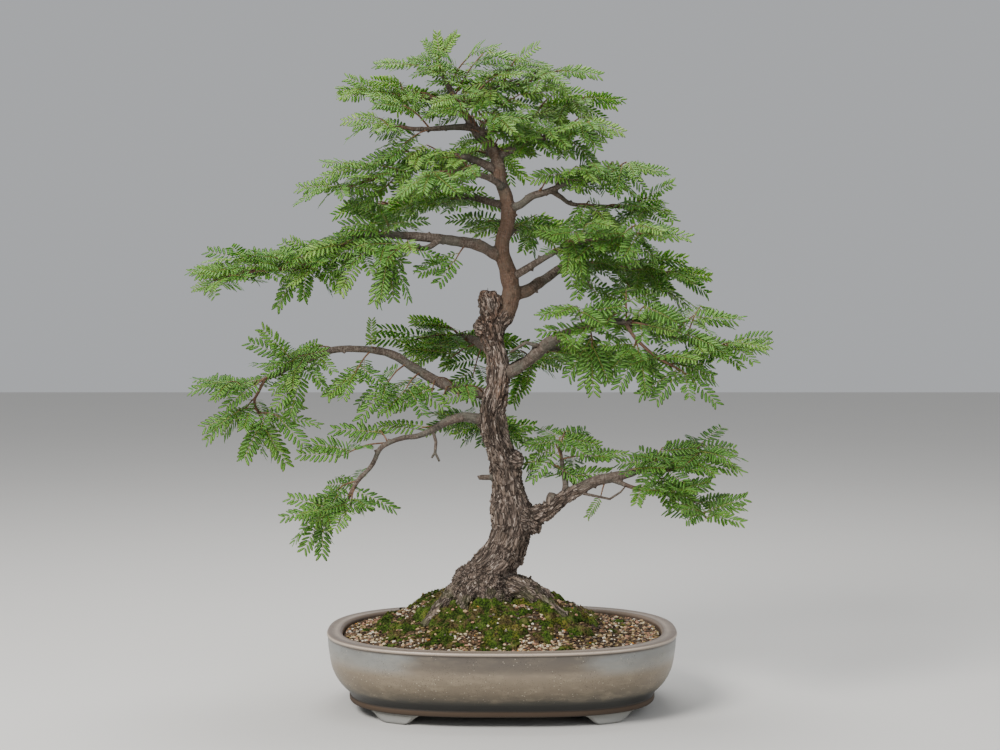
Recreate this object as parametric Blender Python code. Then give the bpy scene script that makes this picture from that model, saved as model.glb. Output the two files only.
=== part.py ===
"""A honey locust bonsai in its oval glazed stoneware pot.

Metres, with +Z up. The pot stands on the plane z = 0 with its long side along X, and the front of the
tree faces -Y. Sizes and routes below are in millimetres, measured from the middle of the pot, and
turned to metres as they are used. The origin is under the middle of the whole plant.
"""
import math
import random

import bmesh
import bpy
from mathutils import Vector
from mathutils.bvhtree import BVHTree

MM = 0.001
GAP = 0.3                       # between pieces that touch on the real plant
WELD = 0.01                     # corners closer than this are one

# Pot: an oval bowl with a rolled lip, a foot band and four feet
POT_HALF_LENGTH = 200.0
POT_HALF_DEPTH = 156.0
POT_SQUARENESS = (2.8, 2.5)     # at the base and at the lip; 2 is an ellipse, more is boxier
SQUARENESS_EASES = (18.0, 60.0)  # heights between which the base's oval eases into the lip's
POT_SIDES = 32
POT_OUTSIDE = (                 # (inset from the widest outline, height), from the foot band up to the lip
    (27.5, 12.0), (26.2, 18.0), (22.4, 25.0), (12.4, 36.0), (5.8, 49.0), (2.2, 66.0), (0.0, 81.5),
    (1.3, 86.2), (4.5, 87.0),
)
POT_INSIDE = (                  # from the lip down to the floor
    (15.5, 86.2), (18.0, 83.0), (18.5, 46.0), (36.0, 24.0),
)
FOOT_HEIGHT = 12.0
FOOT_SINK = 2.0                 # how far a foot reaches up into the pot's base
FOOT_PLACES = (118.0, -118.0)
FOOT_HALF_TOP = 36.0            # half length along the outline, where it meets the base
FOOT_HALF_BOTTOM = 15.5
FOOT_INSETS = (30.0, 52.0)      # outer and inner face
FOOT_STATIONS = 4
DRAIN_X = 62.0
DRAIN_RADIUS = 12.0
DRAIN_SIDES = 12
DRILL_LENGTH = 60.0
SHARP_FROM = 35.0               # degrees between faces, past which a pot's edge is sharp
SCREEN_RADIUS = 19.0
SCREEN_THICKNESS = 1.2

# Soil: level at the wall, mounded up to the roots, its top covered in grit
WALL_GAP = 0.4
SOIL_EDGE_Z = 81.0
MOUND_RISE = 50.0
MOUND_CENTRE = (-10.0, 2.0)
MOUND_FLAT = 30.0               # radius of the top of the mound
MOUND_SPREAD = 140.0            # run from there to the foot of the mound
MOUND_DEPTH_SCALE = 0.72        # the mound is oval like the pot
SOIL_RINGS = (0.92, 0.79, 0.65, 0.5, 0.36)
GRIT_RELIEF = 1.8
GRIT_SEED = 11
ROOT_GAP = 0.5                  # the soil stands this far off the wood

# Wood: trunk rings are (x, y, z, radius), and each branch is a route of (x, y, z, radius)
TRUNK_SIDES = 12
TUBE_SIDES = (6, 4)             # of a branch, and of a thin one or a twig
THIN_BRANCH = 5.1               # a branch that starts thinner than this is a thin one
BARK_FURROWS = ((3, 0.055, 23.0), (5, 0.04, -31.0), (7, 0.025, 17.0))   # lobes, depth, twist
TRUNK = (
    (-15, 2, 75, 42), (-18.5, 1, 118, 42), (-19, 0, 134, 40), (-19, -1, 142, 37.5),
    (-19, -1, 149, 34.5), (-14.5, -1, 155, 32), (-9, -1, 160, 31), (-4.5, 0, 166, 29.5),
    (0.5, 0, 174, 26.5), (5.5, 0, 185, 23.6), (11.5, 2, 201, 23.2), (12.3, 4, 219, 24.8),
    (10, 5, 232, 21.8), (7.8, 5, 249, 17.8), (4.8, 3, 270, 17.6), (-1, 0, 290, 16.6),
    (-6, -3, 301, 16), (-10, -5, 315, 15.2), (-11.5, -5, 333, 14.6), (-9, -4, 348, 13.8),
    (-6, -2, 362, 13.6), (-4.4, -1, 378, 13.8), (-4.5, 0, 392, 13), (-7, 1, 405, 12.2),
    (-12, 1, 418, 14), (-13.5, 0, 432, 16.5), (-13.5, -1, 446, 12.4),
    (-14, -3, 457, 14), (-15, -3, 466, 13.4), (-15.5, -3, 473.5, 8),
)
LEADER = (
    (-12, 1, 424, 12), (-4, 2, 438, 12.5), (4, 2, 449, 12), (9, 1, 460, 11), (10.6, -1, 473, 10.3),
    (8.6, -3, 487, 10.4), (5.6, -4, 500, 9.4), (1.5, -4, 513, 9), (0, -3, 529, 8.6), (3, 0, 541, 8.8),
    (6.5, 3, 554, 9), (7.5, 4, 567, 9.2), (5, 4, 582, 8.2), (-1, 2, 597, 7.6), (-4, 0, 612, 7.6),
    (-5, -2, 624, 7.8), (-11, -3, 636, 7), (-20, -4, 646, 6.4), (-30, -4, 658, 5.8), (-39, -3, 672, 5),
    (-49, -2, 686, 4.4), (-56, 0, 698, 3.8), (-63, 2, 712, 3.2), (-69, 3, 724, 2.6), (-73, 3, 733, 2),
)
ROOTS = {
    "root_left_front": (
        (-38, -14, 136, 17), (-52, -25, 130, 12.5), (-63, -36, 123, 9), (-74, -48, 113, 7),
        (-88, -60, 99, 5)),
    "root_left_short": ((-34, -20, 134, 15), (-41, -38, 127, 10.5), (-45, -52, 114, 6)),
    "root_left": ((-20, 2, 138, 15), (-44, 6, 132, 12), (-62, 10, 121, 8.5), (-84, 14, 107, 5.5)),
    "root_left_back": ((-18, 10, 134, 13), (-38, 26, 128, 9), (-56, 40, 114, 6), (-66, 48, 102, 4)),
    "root_right_front": ((0, -10, 136, 16), (24, -22, 132, 12), (48, -32, 119, 9), (76, -43, 99, 5.5)),
    "root_right": ((0, 4, 136, 15), (26, 6, 132, 11.5), (48, 10, 120, 8.5), (72, 14, 102, 5.5)),
    "root_back": ((-6, 14, 132, 13), (4, 34, 126, 9), (14, 50, 112, 6), (20, 58, 100, 4)),
    "root_front": ((-14, -16, 134, 15), (-16, -34, 130, 11), (-17, -48, 119, 6.5)),
}
BRANCHES = {
    "low_left": (
        (-10, -5, 322, 7.6), (-28, -9, 327, 6.2), (-45, -14, 329.5, 5.6), (-62, -19, 325, 5),
        (-79, -24, 316, 4), (-96, -29, 309, 3.4), (-111, -34, 307.5, 3.3), (-125, -38, 303, 3.1),
        (-137, -42, 296, 3), (-147, -46, 277, 2.9), (-163, -50, 259, 2.5), (-178, -54, 233, 1.8),
        (-192, -56, 229, 1.2)),
    "mid_left": (
        (-6, 0, 352, 8), (-22, 6, 355, 7), (-42, 13, 358, 6.4), (-62, 18, 363, 6), (-80, 22, 371, 5.9),
        (-106, 24, 386, 5.7), (-122, 24, 397, 5.3), (-142, 22, 404, 4.7), (-171, 18, 406, 4),
        (-196, 12, 405, 4.3), (-221, 8, 396, 3.6), (-261, 0, 377, 2.7), (-290, -10, 366, 1.5),
        (-300, -13, 365, 1)),
    "mid_left_drop": (
        (-272, -4, 372, 2), (-279, -8, 358, 1.8), (-283, -12, 346, 1.6), (-276, -18, 330, 1.2)),
    "upper_left": (
        (-2, -4, 513, 7.6), (-14, -6, 519, 7.2), (-30, -8, 527, 6.6), (-58, -12, 531, 6),
        (-100, -17, 536, 5), (-147, -22, 537, 4.1), (-164, -24, 533, 3.7), (-183, -25, 524, 3.3),
        (-218, -29, 503, 2.8), (-253, -33, 498, 2.2), (-288, -37, 495, 1.6), (-328, -40, 485, 1.1)),
    "upper_left_low": (
        (-70, -14, 533, 4), (-84, -26, 523, 3.4), (-103, -40, 522, 2.8), (-124, -56, 520, 1.4)),
    "pad_left": (
        (-3, 0, 610, 5.5), (-18, -4, 618, 5), (-42, -10, 626, 4.3), (-68, -15, 627, 3.7),
        (-92, -20, 622, 3.1), (-120, -25, 612, 2.5), (-148, -28, 600, 1.9), (-172, -30, 592, 1.3)),
    "pad_left_back": (
        (5, 4, 570, 5), (-12, 14, 576, 4.4), (-38, 32, 583, 3.7), (-65, 50, 582, 3.1),
        (-95, 66, 578, 2.4), (-148, 86, 577, 1.2)),
    "crown_left": (
        (-34, -4, 661, 4.4), (-48, -9, 661, 3.9), (-90, -20, 658, 2.9), (-108, -24, 659, 2.3),
        (-131, -28, 663, 1.3)),
    "crown_left_top": (
        (-53, -1, 692, 3.2), (-66, 6, 695, 2.7), (-102, 18, 699, 1.9), (-168, 29, 709, 0.9)),
    "low_right": (
        (14, 2, 215, 12.5), (32, 0, 215, 11.5), (45, -4, 218, 10), (56, -8, 225, 9), (74, -14, 239, 7.6),
        (91, -19, 249, 7), (109, -23, 258, 6.6), (144, -29, 266, 5), (160, -32, 271, 3.4),
        (197, -36, 272, 1.9), (222, -39, 288, 1.2)),
    "low_right_low": (
        (126, -27, 259, 3.4), (140, -34, 254, 2.6), (156, -42, 250, 2.2), (190, -52, 244, 1.7),
        (226, -61, 224, 1)),
    "low_right_up": (
        (72, -13, 238, 4.5), (73, -8, 252, 4), (71, -2, 264, 3.4), (67, 10, 289, 2), (66, 13, 297, 1.4)),
    "mid_right": (
        (-3, 0, 376, 8.5), (9, -5, 381, 7.8), (19, -10, 386, 7), (29, -14, 393, 6.8), (41, -19, 403, 7.2),
        (50, -22, 412, 7.4), (62, -27, 419, 6.4),
        (75, -31, 426, 5.2), (90, -35, 431, 4.7), (115, -40, 438, 4), (139, -44, 438, 3.4),
        (174, -49, 431, 2.6), (204, -53, 420, 2), (247, -58, 411, 1.1)),
    "mid_right_low": (
        (139, -44, 438, 2.4), (150, -60, 420, 2), (170, -72, 402, 1.6), (190, -80, 390, 1.2)),
    "mid_right_back": (
        (-4, 4, 372, 7), (6, 18, 380, 6.3), (20, 38, 388, 5.4), (38, 58, 396, 4.5), (58, 76, 403, 3.6),
        (84, 90, 404, 2.7), (132, 106, 396, 1.3)),
    "right_upper": (
        (11, 0, 470, 8), (27, 6, 473, 7.4), (39, 12, 480, 6.8), (51, 17, 487, 6.2), (68, 24, 500, 5.2),
        (87, 31, 506, 4.3), (113, 40, 503, 3.6), (141, 49, 500, 2.8), (196, 62, 493, 1.4)),
    "right_upper_front": (
        (9, -3, 488, 5.5), (18, -8, 493, 5), (28, -13, 499, 4.5), (43, -20, 508, 4), (64, -28, 520, 3.3),
        (90, -36, 529, 2.7), (146, -49, 537, 1.4)),
    "right_high": (
        (6, 4, 568, 6), (20, -2, 572, 5), (35, -7, 583, 4.6), (54, -12, 588, 4), (90, -22, 603, 2.7),
        (136, -30, 612, 1.4)),
    "right_high_low": (
        (56, -12, 588, 3.4), (68, -6, 581, 3), (82, 0, 573, 2.7), (121, 10, 571, 2.1),
        (170, 17, 571, 1.2)),
    "crown_right": (
        (-6, -2, 628, 5.5), (8, -8, 634, 4.6), (26, -14, 641, 3.9), (48, -19, 648, 3.3),
        (68, -24, 655, 2.6), (94, -28, 662, 1.3)),
    "crown_right_high": (
        (-24, -4, 652, 5), (-10, 0, 658, 4.2), (8, 6, 664, 3.6), (32, 12, 673, 3), (56, 18, 681, 2.4),
        (90, 23, 691, 1.2)),
    "crown_top_right": (
        (-46, -2, 683, 4), (-34, -6, 692, 3.4), (-18, -10, 701, 2.8), (2, -14, 707, 2.3),
        (52, -19, 718, 1.2)),
    "back_low": (
        (-6, 2, 300, 8), (-10, 20, 305, 7.2), (-18, 42, 311, 6.2), (-24, 66, 315, 5.2),
        (-28, 92, 316, 4.2), (-20, 142, 309, 2.2), (-14, 160, 306, 1.4)),
    "back_mid": (
        (-5, 2, 398, 7.5), (-12, 20, 404, 6.8), (-24, 42, 411, 6), (-38, 66, 416, 5), (-50, 92, 418, 4),
        (-58, 118, 416, 3), (-64, 158, 411, 1.3)),
    "back_high": (
        (1, 0, 530, 6.5), (4, 16, 536, 5.8), (10, 38, 543, 4.9), (18, 62, 548, 4), (24, 88, 550, 3.1),
        (30, 132, 547, 1.4)),
    "back_crown": (
        (-4, 2, 618, 5), (-6, 16, 625, 4.4), (-12, 36, 632, 3.6), (-18, 58, 637, 2.8),
        (-24, 98, 640, 1.3)),
    "front_high": (
        (4, 2, 590, 4.6), (-10, -12, 600, 4), (-28, -30, 606, 3.4), (-46, -50, 608, 2.7),
        (-70, -86, 605, 1.3)),
    "front_crown": (
        (-22, -4, 649, 4), (-22, -16, 656, 3.3), (-20, -32, 662, 2.7), (-8, -66, 666, 1.3)),
}
STUBS = {
    "stub_left": ((0, 2, 259, 5), (-19, 0, 259, 4), (-27, -1, 258, 3)),
    "knob_right": ((4, 0, 280, 14), (14, -1, 279, 12), (21, -1, 278, 8.5), (25, -1, 277, 4)),
    "knob_low_right": ((56, -9, 226, 7), (57, -9, 236, 6.4), (58, -9, 242, 4.4)),
    "burl_low_right": ((22, -1, 208, 15), (33, -2, 205, 12.5), (41, -2, 202, 8.5), (45, -2, 201, 5)),
    "burl_left": ((-12, -1, 429, 14), (-22, -2, 431, 12.5), (-29, -2, 431, 9), (-33, -2, 431, 5)),
}

# Shoots: the branch that a shoot leaves, how far along it, its tip, and the pitch of its leaves in degrees
SHOOTS = (
    ("leader", 1.0, (-70, 4, 746), 58), ("leader", 0.96, (-108, -6, 733), -5),
    ("leader", 0.88, (-20, -4, 748), 5), ("crown_top_right", 1.0, (67, -21, 725), 0),
    ("crown_top_right", 0.5, (15, -22, 737), 10), ("crown_left_top", 0.55, (-118, 24, 716), 0),
    ("crown_left", 1.0, (-140, -29, 670), -5), ("crown_left", 0.5, (-111, -34, 684), 10),
    ("front_crown", 1.0, (-6, -72, 668), -15), ("crown_right_high", 1.0, (96, 24, 699), 0),
    ("crown_right", 1.0, (98, -29, 666), -10), ("crown_right", 0.5, (49, -38, 658), -15),
    ("pad_left", 1.0, (-192, -32, 592), -10), ("pad_left", 0.7, (-169, -44, 615), -5),
    ("pad_left", 0.5, (-117, -34, 633), -10), ("pad_left_back", 1.0, (-154, 89, 576), -10),
    ("pad_left_back", 0.5, (-83, 72, 590), -5), ("front_high", 1.0, (-80, -98, 602), -25),
    ("right_high", 1.0, (145, -31, 612), -5), ("right_high", 0.5, (84, -36, 615), -5),
    ("right_high_low", 1.0, (178, 18, 574), 0), ("right_high_low", 0.5, (113, 14, 561), -40),
    ("upper_left", 0.85, (-292, -40, 508), 5), ("upper_left", 0.72, (-255, -44, 511), 5),
    ("upper_left", 0.62, (-232, -20, 495), -35), ("upper_left", 0.5, (-180, -40, 526), 0),
    ("upper_left", 0.38, (-134, -8, 561), 10), ("upper_left_low", 1.0, (-128, -60, 509), -65),
    ("back_high", 1.0, (32, 140, 548), -10), ("back_crown", 1.0, (-26, 106, 642), -5),
    ("right_upper", 1.0, (206, 64, 494), -10), ("right_upper_front", 1.0, (159, -51, 538), -10),
    ("right_upper_front", 0.5, (78, -44, 532), -55), ("mid_right", 1.0, (257, -60, 414), -5),
    ("mid_right", 0.8, (216, -44, 446), 5), ("mid_right", 0.62, (159, -62, 457), 0),
    ("mid_right", 0.42, (84, -48, 457), 5), ("mid_right", 0.45, (101, -58, 411), -60),
    ("mid_right_low", 1.0, (205, -84, 380), -20), ("mid_right_back", 1.0, (142, 109, 396), 0),
    ("mid_left_drop", 1.0, (-273, -20, 322), -50), ("mid_left", 1.0, (-308, -14, 366), 5),
    ("mid_left", 0.8, (-246, -6, 400), 30), ("mid_left", 0.5, (-169, -2, 378), -25),
    ("mid_left", 0.3, (-112, -14, 358), -25), ("back_mid", 1.0, (-66, 168, 412), 0),
    ("back_low", 1.0, (-10, 170, 306), -10), ("low_left", 1.0, (-200, -58, 226), -50),
    ("low_left", 0.55, (-180, -40, 288), 0), ("low_left", 0.8, (-186, -46, 250), -20),
    ("low_right_up", 1.0, (67, 15, 304), 5), ("low_right_up", 0.5, (41, 6, 277), -15),
    ("low_right", 1.0, (230, -41, 293), 0), ("low_right", 0.75, (182, -30, 296), 5),
    ("low_right_low", 1.0, (236, -63, 220), 0),
)
TWIG_RADIUS = 1.4
TWIG_SEAT = 0.33                # how far a twig's root end stands off the wood
SEAT_STEP = 0.15                # steps in which that place is looked for
TWIG_LIFT = 0.08                # rise of a twig's middle over the straight line, as a share of its length

# Leaves: pinnate, with fewer and wider leaflets than the real leaf's ten or so pairs
LEAVES_AT_ENDS = 4              # on a shoot that ends its branch or stands near its end
LEAVES_INSIDE = 3               # on one that leaves its branch before this share of it
INSIDE_SHARE = 0.6
LEAF_CANDIDATES = 12
LEAF_SEED = 700
LEAF_LENGTH = 50.0
LEAF_LENGTHS = (0.82, 1.08)     # shares of that length that are drawn
LEAF_HALF_WIDTH = 11.5
LEAF_WIDEST = (0.2, 0.62)       # start and run of the half wave that the leaflets' lengths follow
LEAF_PAIRS = 3
LEAF_STALK = 0.16               # share of the rib that is bare
STALK_HALF_WIDTH = 0.5          # of the rib at its root
STALK_DROP = 0.35
LEAF_LAST_PAIR = 0.84
LEAF_SAG = 0.16
LEAFLET_LEAN = 0.14             # how far a leaflet's tip leans past its root, as a share of the leaf
LEAFLET_DROOP = 0.18
RIB_HALF_WIDTH = 0.9
RIB_RISE = 0.7
RIB_DROP = 0.5
LEAF_SPACING = 7.0              # between leaves along a twig
LEAVES_SPAN = 0.8               # share of a short twig that its leaves take up
END_FAN = 7.2                   # degrees that the end leaf stands off the twig's heading
FIRST_FAN = 24.0                # the same for the next leaf
FAN_STEP = 24.0
FAN_LIMIT = 150.0
FAN_SWAY = 8.0                  # degrees drawn either way
PITCH_SWAY = 16.0
ROLL_SWAY = 0.35
FACE_UP = 0.75                  # how much a leaf faces the sky, its own side and straight out
FACE_SIDE = 0.55
FACE_OUT = 0.2
TWIG_BARE = 0.06                # share of a twig, next to the wood, that holds no leaf
NEAR_LEAVES = 110.0             # leaves rooted further away than this can't touch
BACK_LEAVES_FROM = 20.0         # shoots whose tip lies further back than this face the back

COLOURS = {
    "glazed_stoneware": ((0.30, 0.26, 0.20), 0.34), "soil": ((0.24, 0.18, 0.11), 0.95),
    "mesh_screen": ((0.03, 0.03, 0.03), 0.6), "bark": ((0.17, 0.14, 0.12), 0.88),
    "leaf": ((0.16, 0.27, 0.035), 0.55),
}


def mm(values):
    """A point given in millimetres, as a vector in metres."""
    return Vector(values[:3]) * MM


def clear_scene():
    for item in list(bpy.data.objects):
        bpy.data.objects.remove(item, do_unlink=True)


def new_collection(name):
    collection = bpy.data.collections.new(name)
    bpy.context.scene.collection.children.link(collection)
    return collection


def material(name):
    found = bpy.data.materials.get(name)
    if found:
        return found
    colour, roughness = COLOURS[name]
    made = bpy.data.materials.new(name)
    made.use_nodes = True
    shader = made.node_tree.nodes["Principled BSDF"]
    shader.inputs["Base Color"].default_value = (*colour, 1)
    shader.inputs["Roughness"].default_value = roughness
    shader.inputs["Metallic"].default_value = 0
    return made


def mesh_object(name, mesh, collection, finish=None):
    made = bpy.data.objects.new(name, mesh)
    collection.objects.link(made)
    if finish:
        mesh.materials.clear()
        mesh.materials.append(material(finish))
    return made


def bmesh_object(name, bm, collection, finish=None, split=True):
    """Bent faces are split into triangles, so that the Booleans cut what is seen."""
    if split:
        bmesh.ops.triangulate(bm, faces=bm.faces)
    bmesh.ops.recalc_face_normals(bm, faces=bm.faces)
    mesh = bpy.data.meshes.new(name)
    bm.to_mesh(mesh)
    bm.free()
    return mesh_object(name, mesh, collection, finish)


def loft(bm, rings):
    """Skin a stack of rings of equal count, and close both ends."""
    for lower, upper in zip(rings, rings[1:]):
        count = len(lower)
        for i in range(count):
            j = (i + 1) % count
            bm.faces.new((lower[i], lower[j], upper[j], upper[i]))
    bm.faces.new(list(reversed(rings[0])))
    bm.faces.new(rings[-1])


def tube_mesh(name, route, sides):
    """A tapered round stem along a route of (x, y, z, radius) in millimetres, as a closed mesh."""
    curve = bpy.data.curves.new(name, "CURVE")
    curve.dimensions = "3D"
    curve.bevel_depth = MM
    curve.bevel_resolution = (sides - 4) // 2
    curve.use_fill_caps = True
    spline = curve.splines.new("POLY")
    spline.points.add(len(route) - 1)
    for point, (x, y, z, radius) in zip(spline.points, route):
        point.co = (x * MM, y * MM, z * MM, 1)
        point.radius = radius
    holder = bpy.data.objects.new(name, curve)
    bpy.context.scene.collection.objects.link(holder)
    mesh = evaluated_mesh(holder)
    bpy.data.objects.remove(holder, do_unlink=True)
    bpy.data.curves.remove(curve)
    bm = bmesh.new()
    bm.from_mesh(mesh)
    bmesh.ops.remove_doubles(bm, verts=bm.verts, dist=WELD * MM)
    bmesh.ops.recalc_face_normals(bm, faces=bm.faces)
    bm.to_mesh(mesh)
    bm.free()
    return mesh


def evaluated_mesh(holder):
    bpy.context.view_layer.update()
    graph = bpy.context.evaluated_depsgraph_get()
    return bpy.data.meshes.new_from_object(holder.evaluated_get(graph))


def apply_boolean(target, operation, tools):
    """Join or cut an object with everything in a collection, and remove that collection."""
    cut = target.modifiers.new(operation.title(), "BOOLEAN")
    cut.operation = operation
    cut.operand_type = "COLLECTION"
    cut.collection = tools
    mesh = evaluated_mesh(target)
    target.modifiers.clear()
    target.data = mesh
    for tool in list(tools.objects):
        bpy.data.objects.remove(tool, do_unlink=True)
    bpy.data.collections.remove(tools)


def squareness(z):
    """How boxy the pot's oval is at a height."""
    base_z, eased_z = SQUARENESS_EASES
    base, lip = POT_SQUARENESS
    return base + (lip - base) * min(max((z - base_z) / (eased_z - base_z), 0), 1)


def outline_point(angle, inset, z):
    """A point on the pot's oval, drawn in from its widest outline."""
    power = 2 / squareness(z)
    across = math.copysign(abs(math.cos(angle)) ** power, math.cos(angle))
    deep = math.copysign(abs(math.sin(angle)) ** power, math.sin(angle))
    return mm(((POT_HALF_LENGTH - inset) * across, (POT_HALF_DEPTH - inset) * deep, z))


def outline_depth(x, inset):
    """How far the base's oval reaches in Y at a given X."""
    power = squareness(FOOT_HEIGHT)
    share = abs(x) / (POT_HALF_LENGTH - inset)
    return (POT_HALF_DEPTH - inset) * (1 - share ** power) ** (1 / power)


def outline_slope(x, inset):
    """The base's run at a given X on its back half, as dy / dx."""
    return (outline_depth(x + 1, inset) - outline_depth(x - 1, inset)) / 2


def oval_ring(bm, sides, inset, z):
    return [bm.verts.new(outline_point(2 * math.pi * i / sides, inset, z)) for i in range(sides)]


def foot_mesh(place_x, side_y):
    """A foot that follows the oval, longer where it meets the base than where it stands."""
    bm = bmesh.new()
    slope = outline_slope(place_x, FOOT_INSETS[0])
    run = 1 / math.hypot(1, slope)
    rings = []
    for k in range(FOOT_STATIONS):
        share = 2 * k / (FOOT_STATIONS - 1) - 1
        ring = []
        for inset, half, z in (
            (FOOT_INSETS[0], FOOT_HALF_BOTTOM, 0.0), (FOOT_INSETS[0], FOOT_HALF_TOP, FOOT_HEIGHT + FOOT_SINK),
            (FOOT_INSETS[1], FOOT_HALF_TOP, FOOT_HEIGHT + FOOT_SINK), (FOOT_INSETS[1], FOOT_HALF_BOTTOM, 0.0),
        ):
            x = place_x + share * half * run
            deep = outline_depth(x, FOOT_INSETS[0]) - (inset - FOOT_INSETS[0])
            ring.append(bm.verts.new(mm((x, side_y * deep, z))))
        rings.append(ring)
    loft(bm, rings)
    return bm


def build_pot(plant):
    """The bowl is one loft of ovals, with four feet joined on and two drain holes cut."""
    bm = bmesh.new()
    loft(bm, [oval_ring(bm, POT_SIDES, inset, z) for inset, z in POT_OUTSIDE + POT_INSIDE])
    pot = bmesh_object("pot", bm, plant)
    feet = new_collection("feet")
    for place_x in FOOT_PLACES:
        for side_y in (-1, 1):
            bmesh_object("foot", foot_mesh(place_x, side_y), feet)
    apply_boolean(pot, "UNION", feet)
    drills = new_collection("drills")
    for x in (-DRAIN_X, DRAIN_X):
        bpy.ops.mesh.primitive_cylinder_add(
            vertices=DRAIN_SIDES, radius=DRAIN_RADIUS * MM, depth=DRILL_LENGTH * MM,
            location=mm((x, 0, FOOT_HEIGHT)))
        drill = bpy.context.object
        for holder in list(drill.users_collection):
            holder.objects.unlink(drill)
        drills.objects.link(drill)
    apply_boolean(pot, "DIFFERENCE", drills)
    pot.data.materials.clear()
    pot.data.materials.append(material("glazed_stoneware"))
    pot.data.shade_smooth()
    pot.data.set_sharp_from_angle(angle=math.radians(SHARP_FROM))


def build_screens(plant):
    """A thin disc of mesh lies over each drain hole, under the soil."""
    floor_z = POT_INSIDE[-1][1]
    for side, x in (("left", -DRAIN_X), ("right", DRAIN_X)):
        bm = bmesh.new()
        bmesh.ops.create_cone(
            bm, cap_ends=True, segments=DRAIN_SIDES, radius1=SCREEN_RADIUS * MM, radius2=SCREEN_RADIUS * MM,
            depth=SCREEN_THICKNESS * MM)
        bmesh.ops.translate(bm, verts=bm.verts, vec=mm((x, 0, floor_z + GAP + SCREEN_THICKNESS / 2)))
        bmesh_object(f"drain_screen_{side}", bm, plant, "mesh_screen")


def mound_height(x, y):
    """The soil's height in millimetres, without its grit."""
    run = math.hypot(x - MOUND_CENTRE[0], (y - MOUND_CENTRE[1]) / MOUND_DEPTH_SCALE)
    share = min(max((run - MOUND_FLAT) / MOUND_SPREAD, 0), 1)
    return SOIL_EDGE_Z + MOUND_RISE * (1 - share * share * (3 - 2 * share))


def grown(route, by, longer):
    """A route made thicker all round, with its last point pushed on, for the hole that takes it."""
    made = [(x, y, z, radius + by) for x, y, z, radius in route]
    last = Vector(route[-1][:3])
    ahead = last + (last - Vector(route[-2][:3])).normalized() * longer
    made[-1] = (*ahead, route[-1][3] + by)
    return made


def trunk_loft(grow=0.0):
    """The trunk's rings, furrowed like its bark; a grown one is the cutter for the soil."""
    bm = bmesh.new()
    rings = []
    for x, y, z, radius in TRUNK:
        ring = []
        for i in range(TRUNK_SIDES):
            angle = 2 * math.pi * i / TRUNK_SIDES
            waves = [deep * math.sin(lobes * angle + z / twist) for lobes, deep, twist in BARK_FURROWS]
            reach = radius * (1 + sum(waves)) + grow
            ring.append(bm.verts.new(mm((x + reach * math.cos(angle), y + reach * math.sin(angle), z))))
        rings.append(ring)
    if grow:
        for vertex in rings[0]:
            vertex.co.z -= grow * MM
    loft(bm, rings)
    return bm


def build_soil(plant):
    """A plug that fills the pot, its top mounded and pitted like grit, with a hole for the roots."""
    bm = bmesh.new()
    draw = random.Random(GRIT_SEED)
    bottom = POT_INSIDE[-1][1] + 2 * GAP + SCREEN_THICKNESS
    (bend_inset, bend_z), (floor_inset, floor_z) = POT_INSIDE[-2:]
    edge_inset = bend_inset + WALL_GAP
    bend = (edge_inset, bend_z + WALL_GAP)
    wall = [(floor_inset + bottom - floor_z, bottom), bend, (edge_inset, SOIL_EDGE_Z)]
    rings = [oval_ring(bm, POT_SIDES, inset, z) for inset, z in wall]
    for share in SOIL_RINGS:
        ring = []
        for vertex in rings[len(wall) - 1]:
            x = vertex.co.x / MM * share
            y = vertex.co.y / MM * share
            z = mound_height(x, y) + draw.uniform(-GRIT_RELIEF, GRIT_RELIEF)
            ring.append(bm.verts.new(mm((x, y, z))))
        rings.append(ring)
    loft(bm, rings)
    soil = bmesh_object("soil", bm, plant, "soil")
    holes = new_collection("holes")
    hole = bmesh_object("root_hole", trunk_loft(ROOT_GAP), holes)
    arms = new_collection("hole_arms")
    for name, route in ROOTS.items():
        mesh_object(name, tube_mesh(name, grown(route, ROOT_GAP, ROOT_GAP), TUBE_SIDES[0]), arms)
    apply_boolean(hole, "UNION", arms)
    apply_boolean(soil, "DIFFERENCE", holes)
    return soil


def build_wood(plant):
    """Roots, trunk, leader, branches and cut stubs, joined into the one wood that they grew as."""
    wood = bmesh_object("trunk", trunk_loft(), plant)
    limbs = new_collection("limbs")
    routes = {"leader": LEADER, **ROOTS, **BRANCHES, **STUBS}
    for name, route in routes.items():
        thin = name in BRANCHES and route[0][3] < THIN_BRANCH
        mesh_object(name, tube_mesh(name, route, TUBE_SIDES[thin]), limbs)
    apply_boolean(wood, "UNION", limbs)
    wood.data.materials.clear()
    wood.data.materials.append(material("bark"))
    return wood


def along(points, share):
    """The point at a share of a polyline's length."""
    lengths = [(b - a).length for a, b in zip(points, points[1:])]
    left = share * sum(lengths)
    for a, b, length in zip(points, points[1:], lengths):
        if left <= length:
            return a.lerp(b, left / length)
        left -= length
    return points[-1].copy()


def twig_points(branch, share, tip):
    """A shoot's stem: from the middle of its branch, arched up a little, to its tip."""
    route = LEADER if branch == "leader" else BRANCHES[branch]
    start = along([Vector(point[:3]) for point in route], share)
    end = Vector(tip)
    middle = start.lerp(end, 0.5)
    middle.z += TWIG_LIFT * (end - start).length
    return [start, middle, end]


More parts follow.
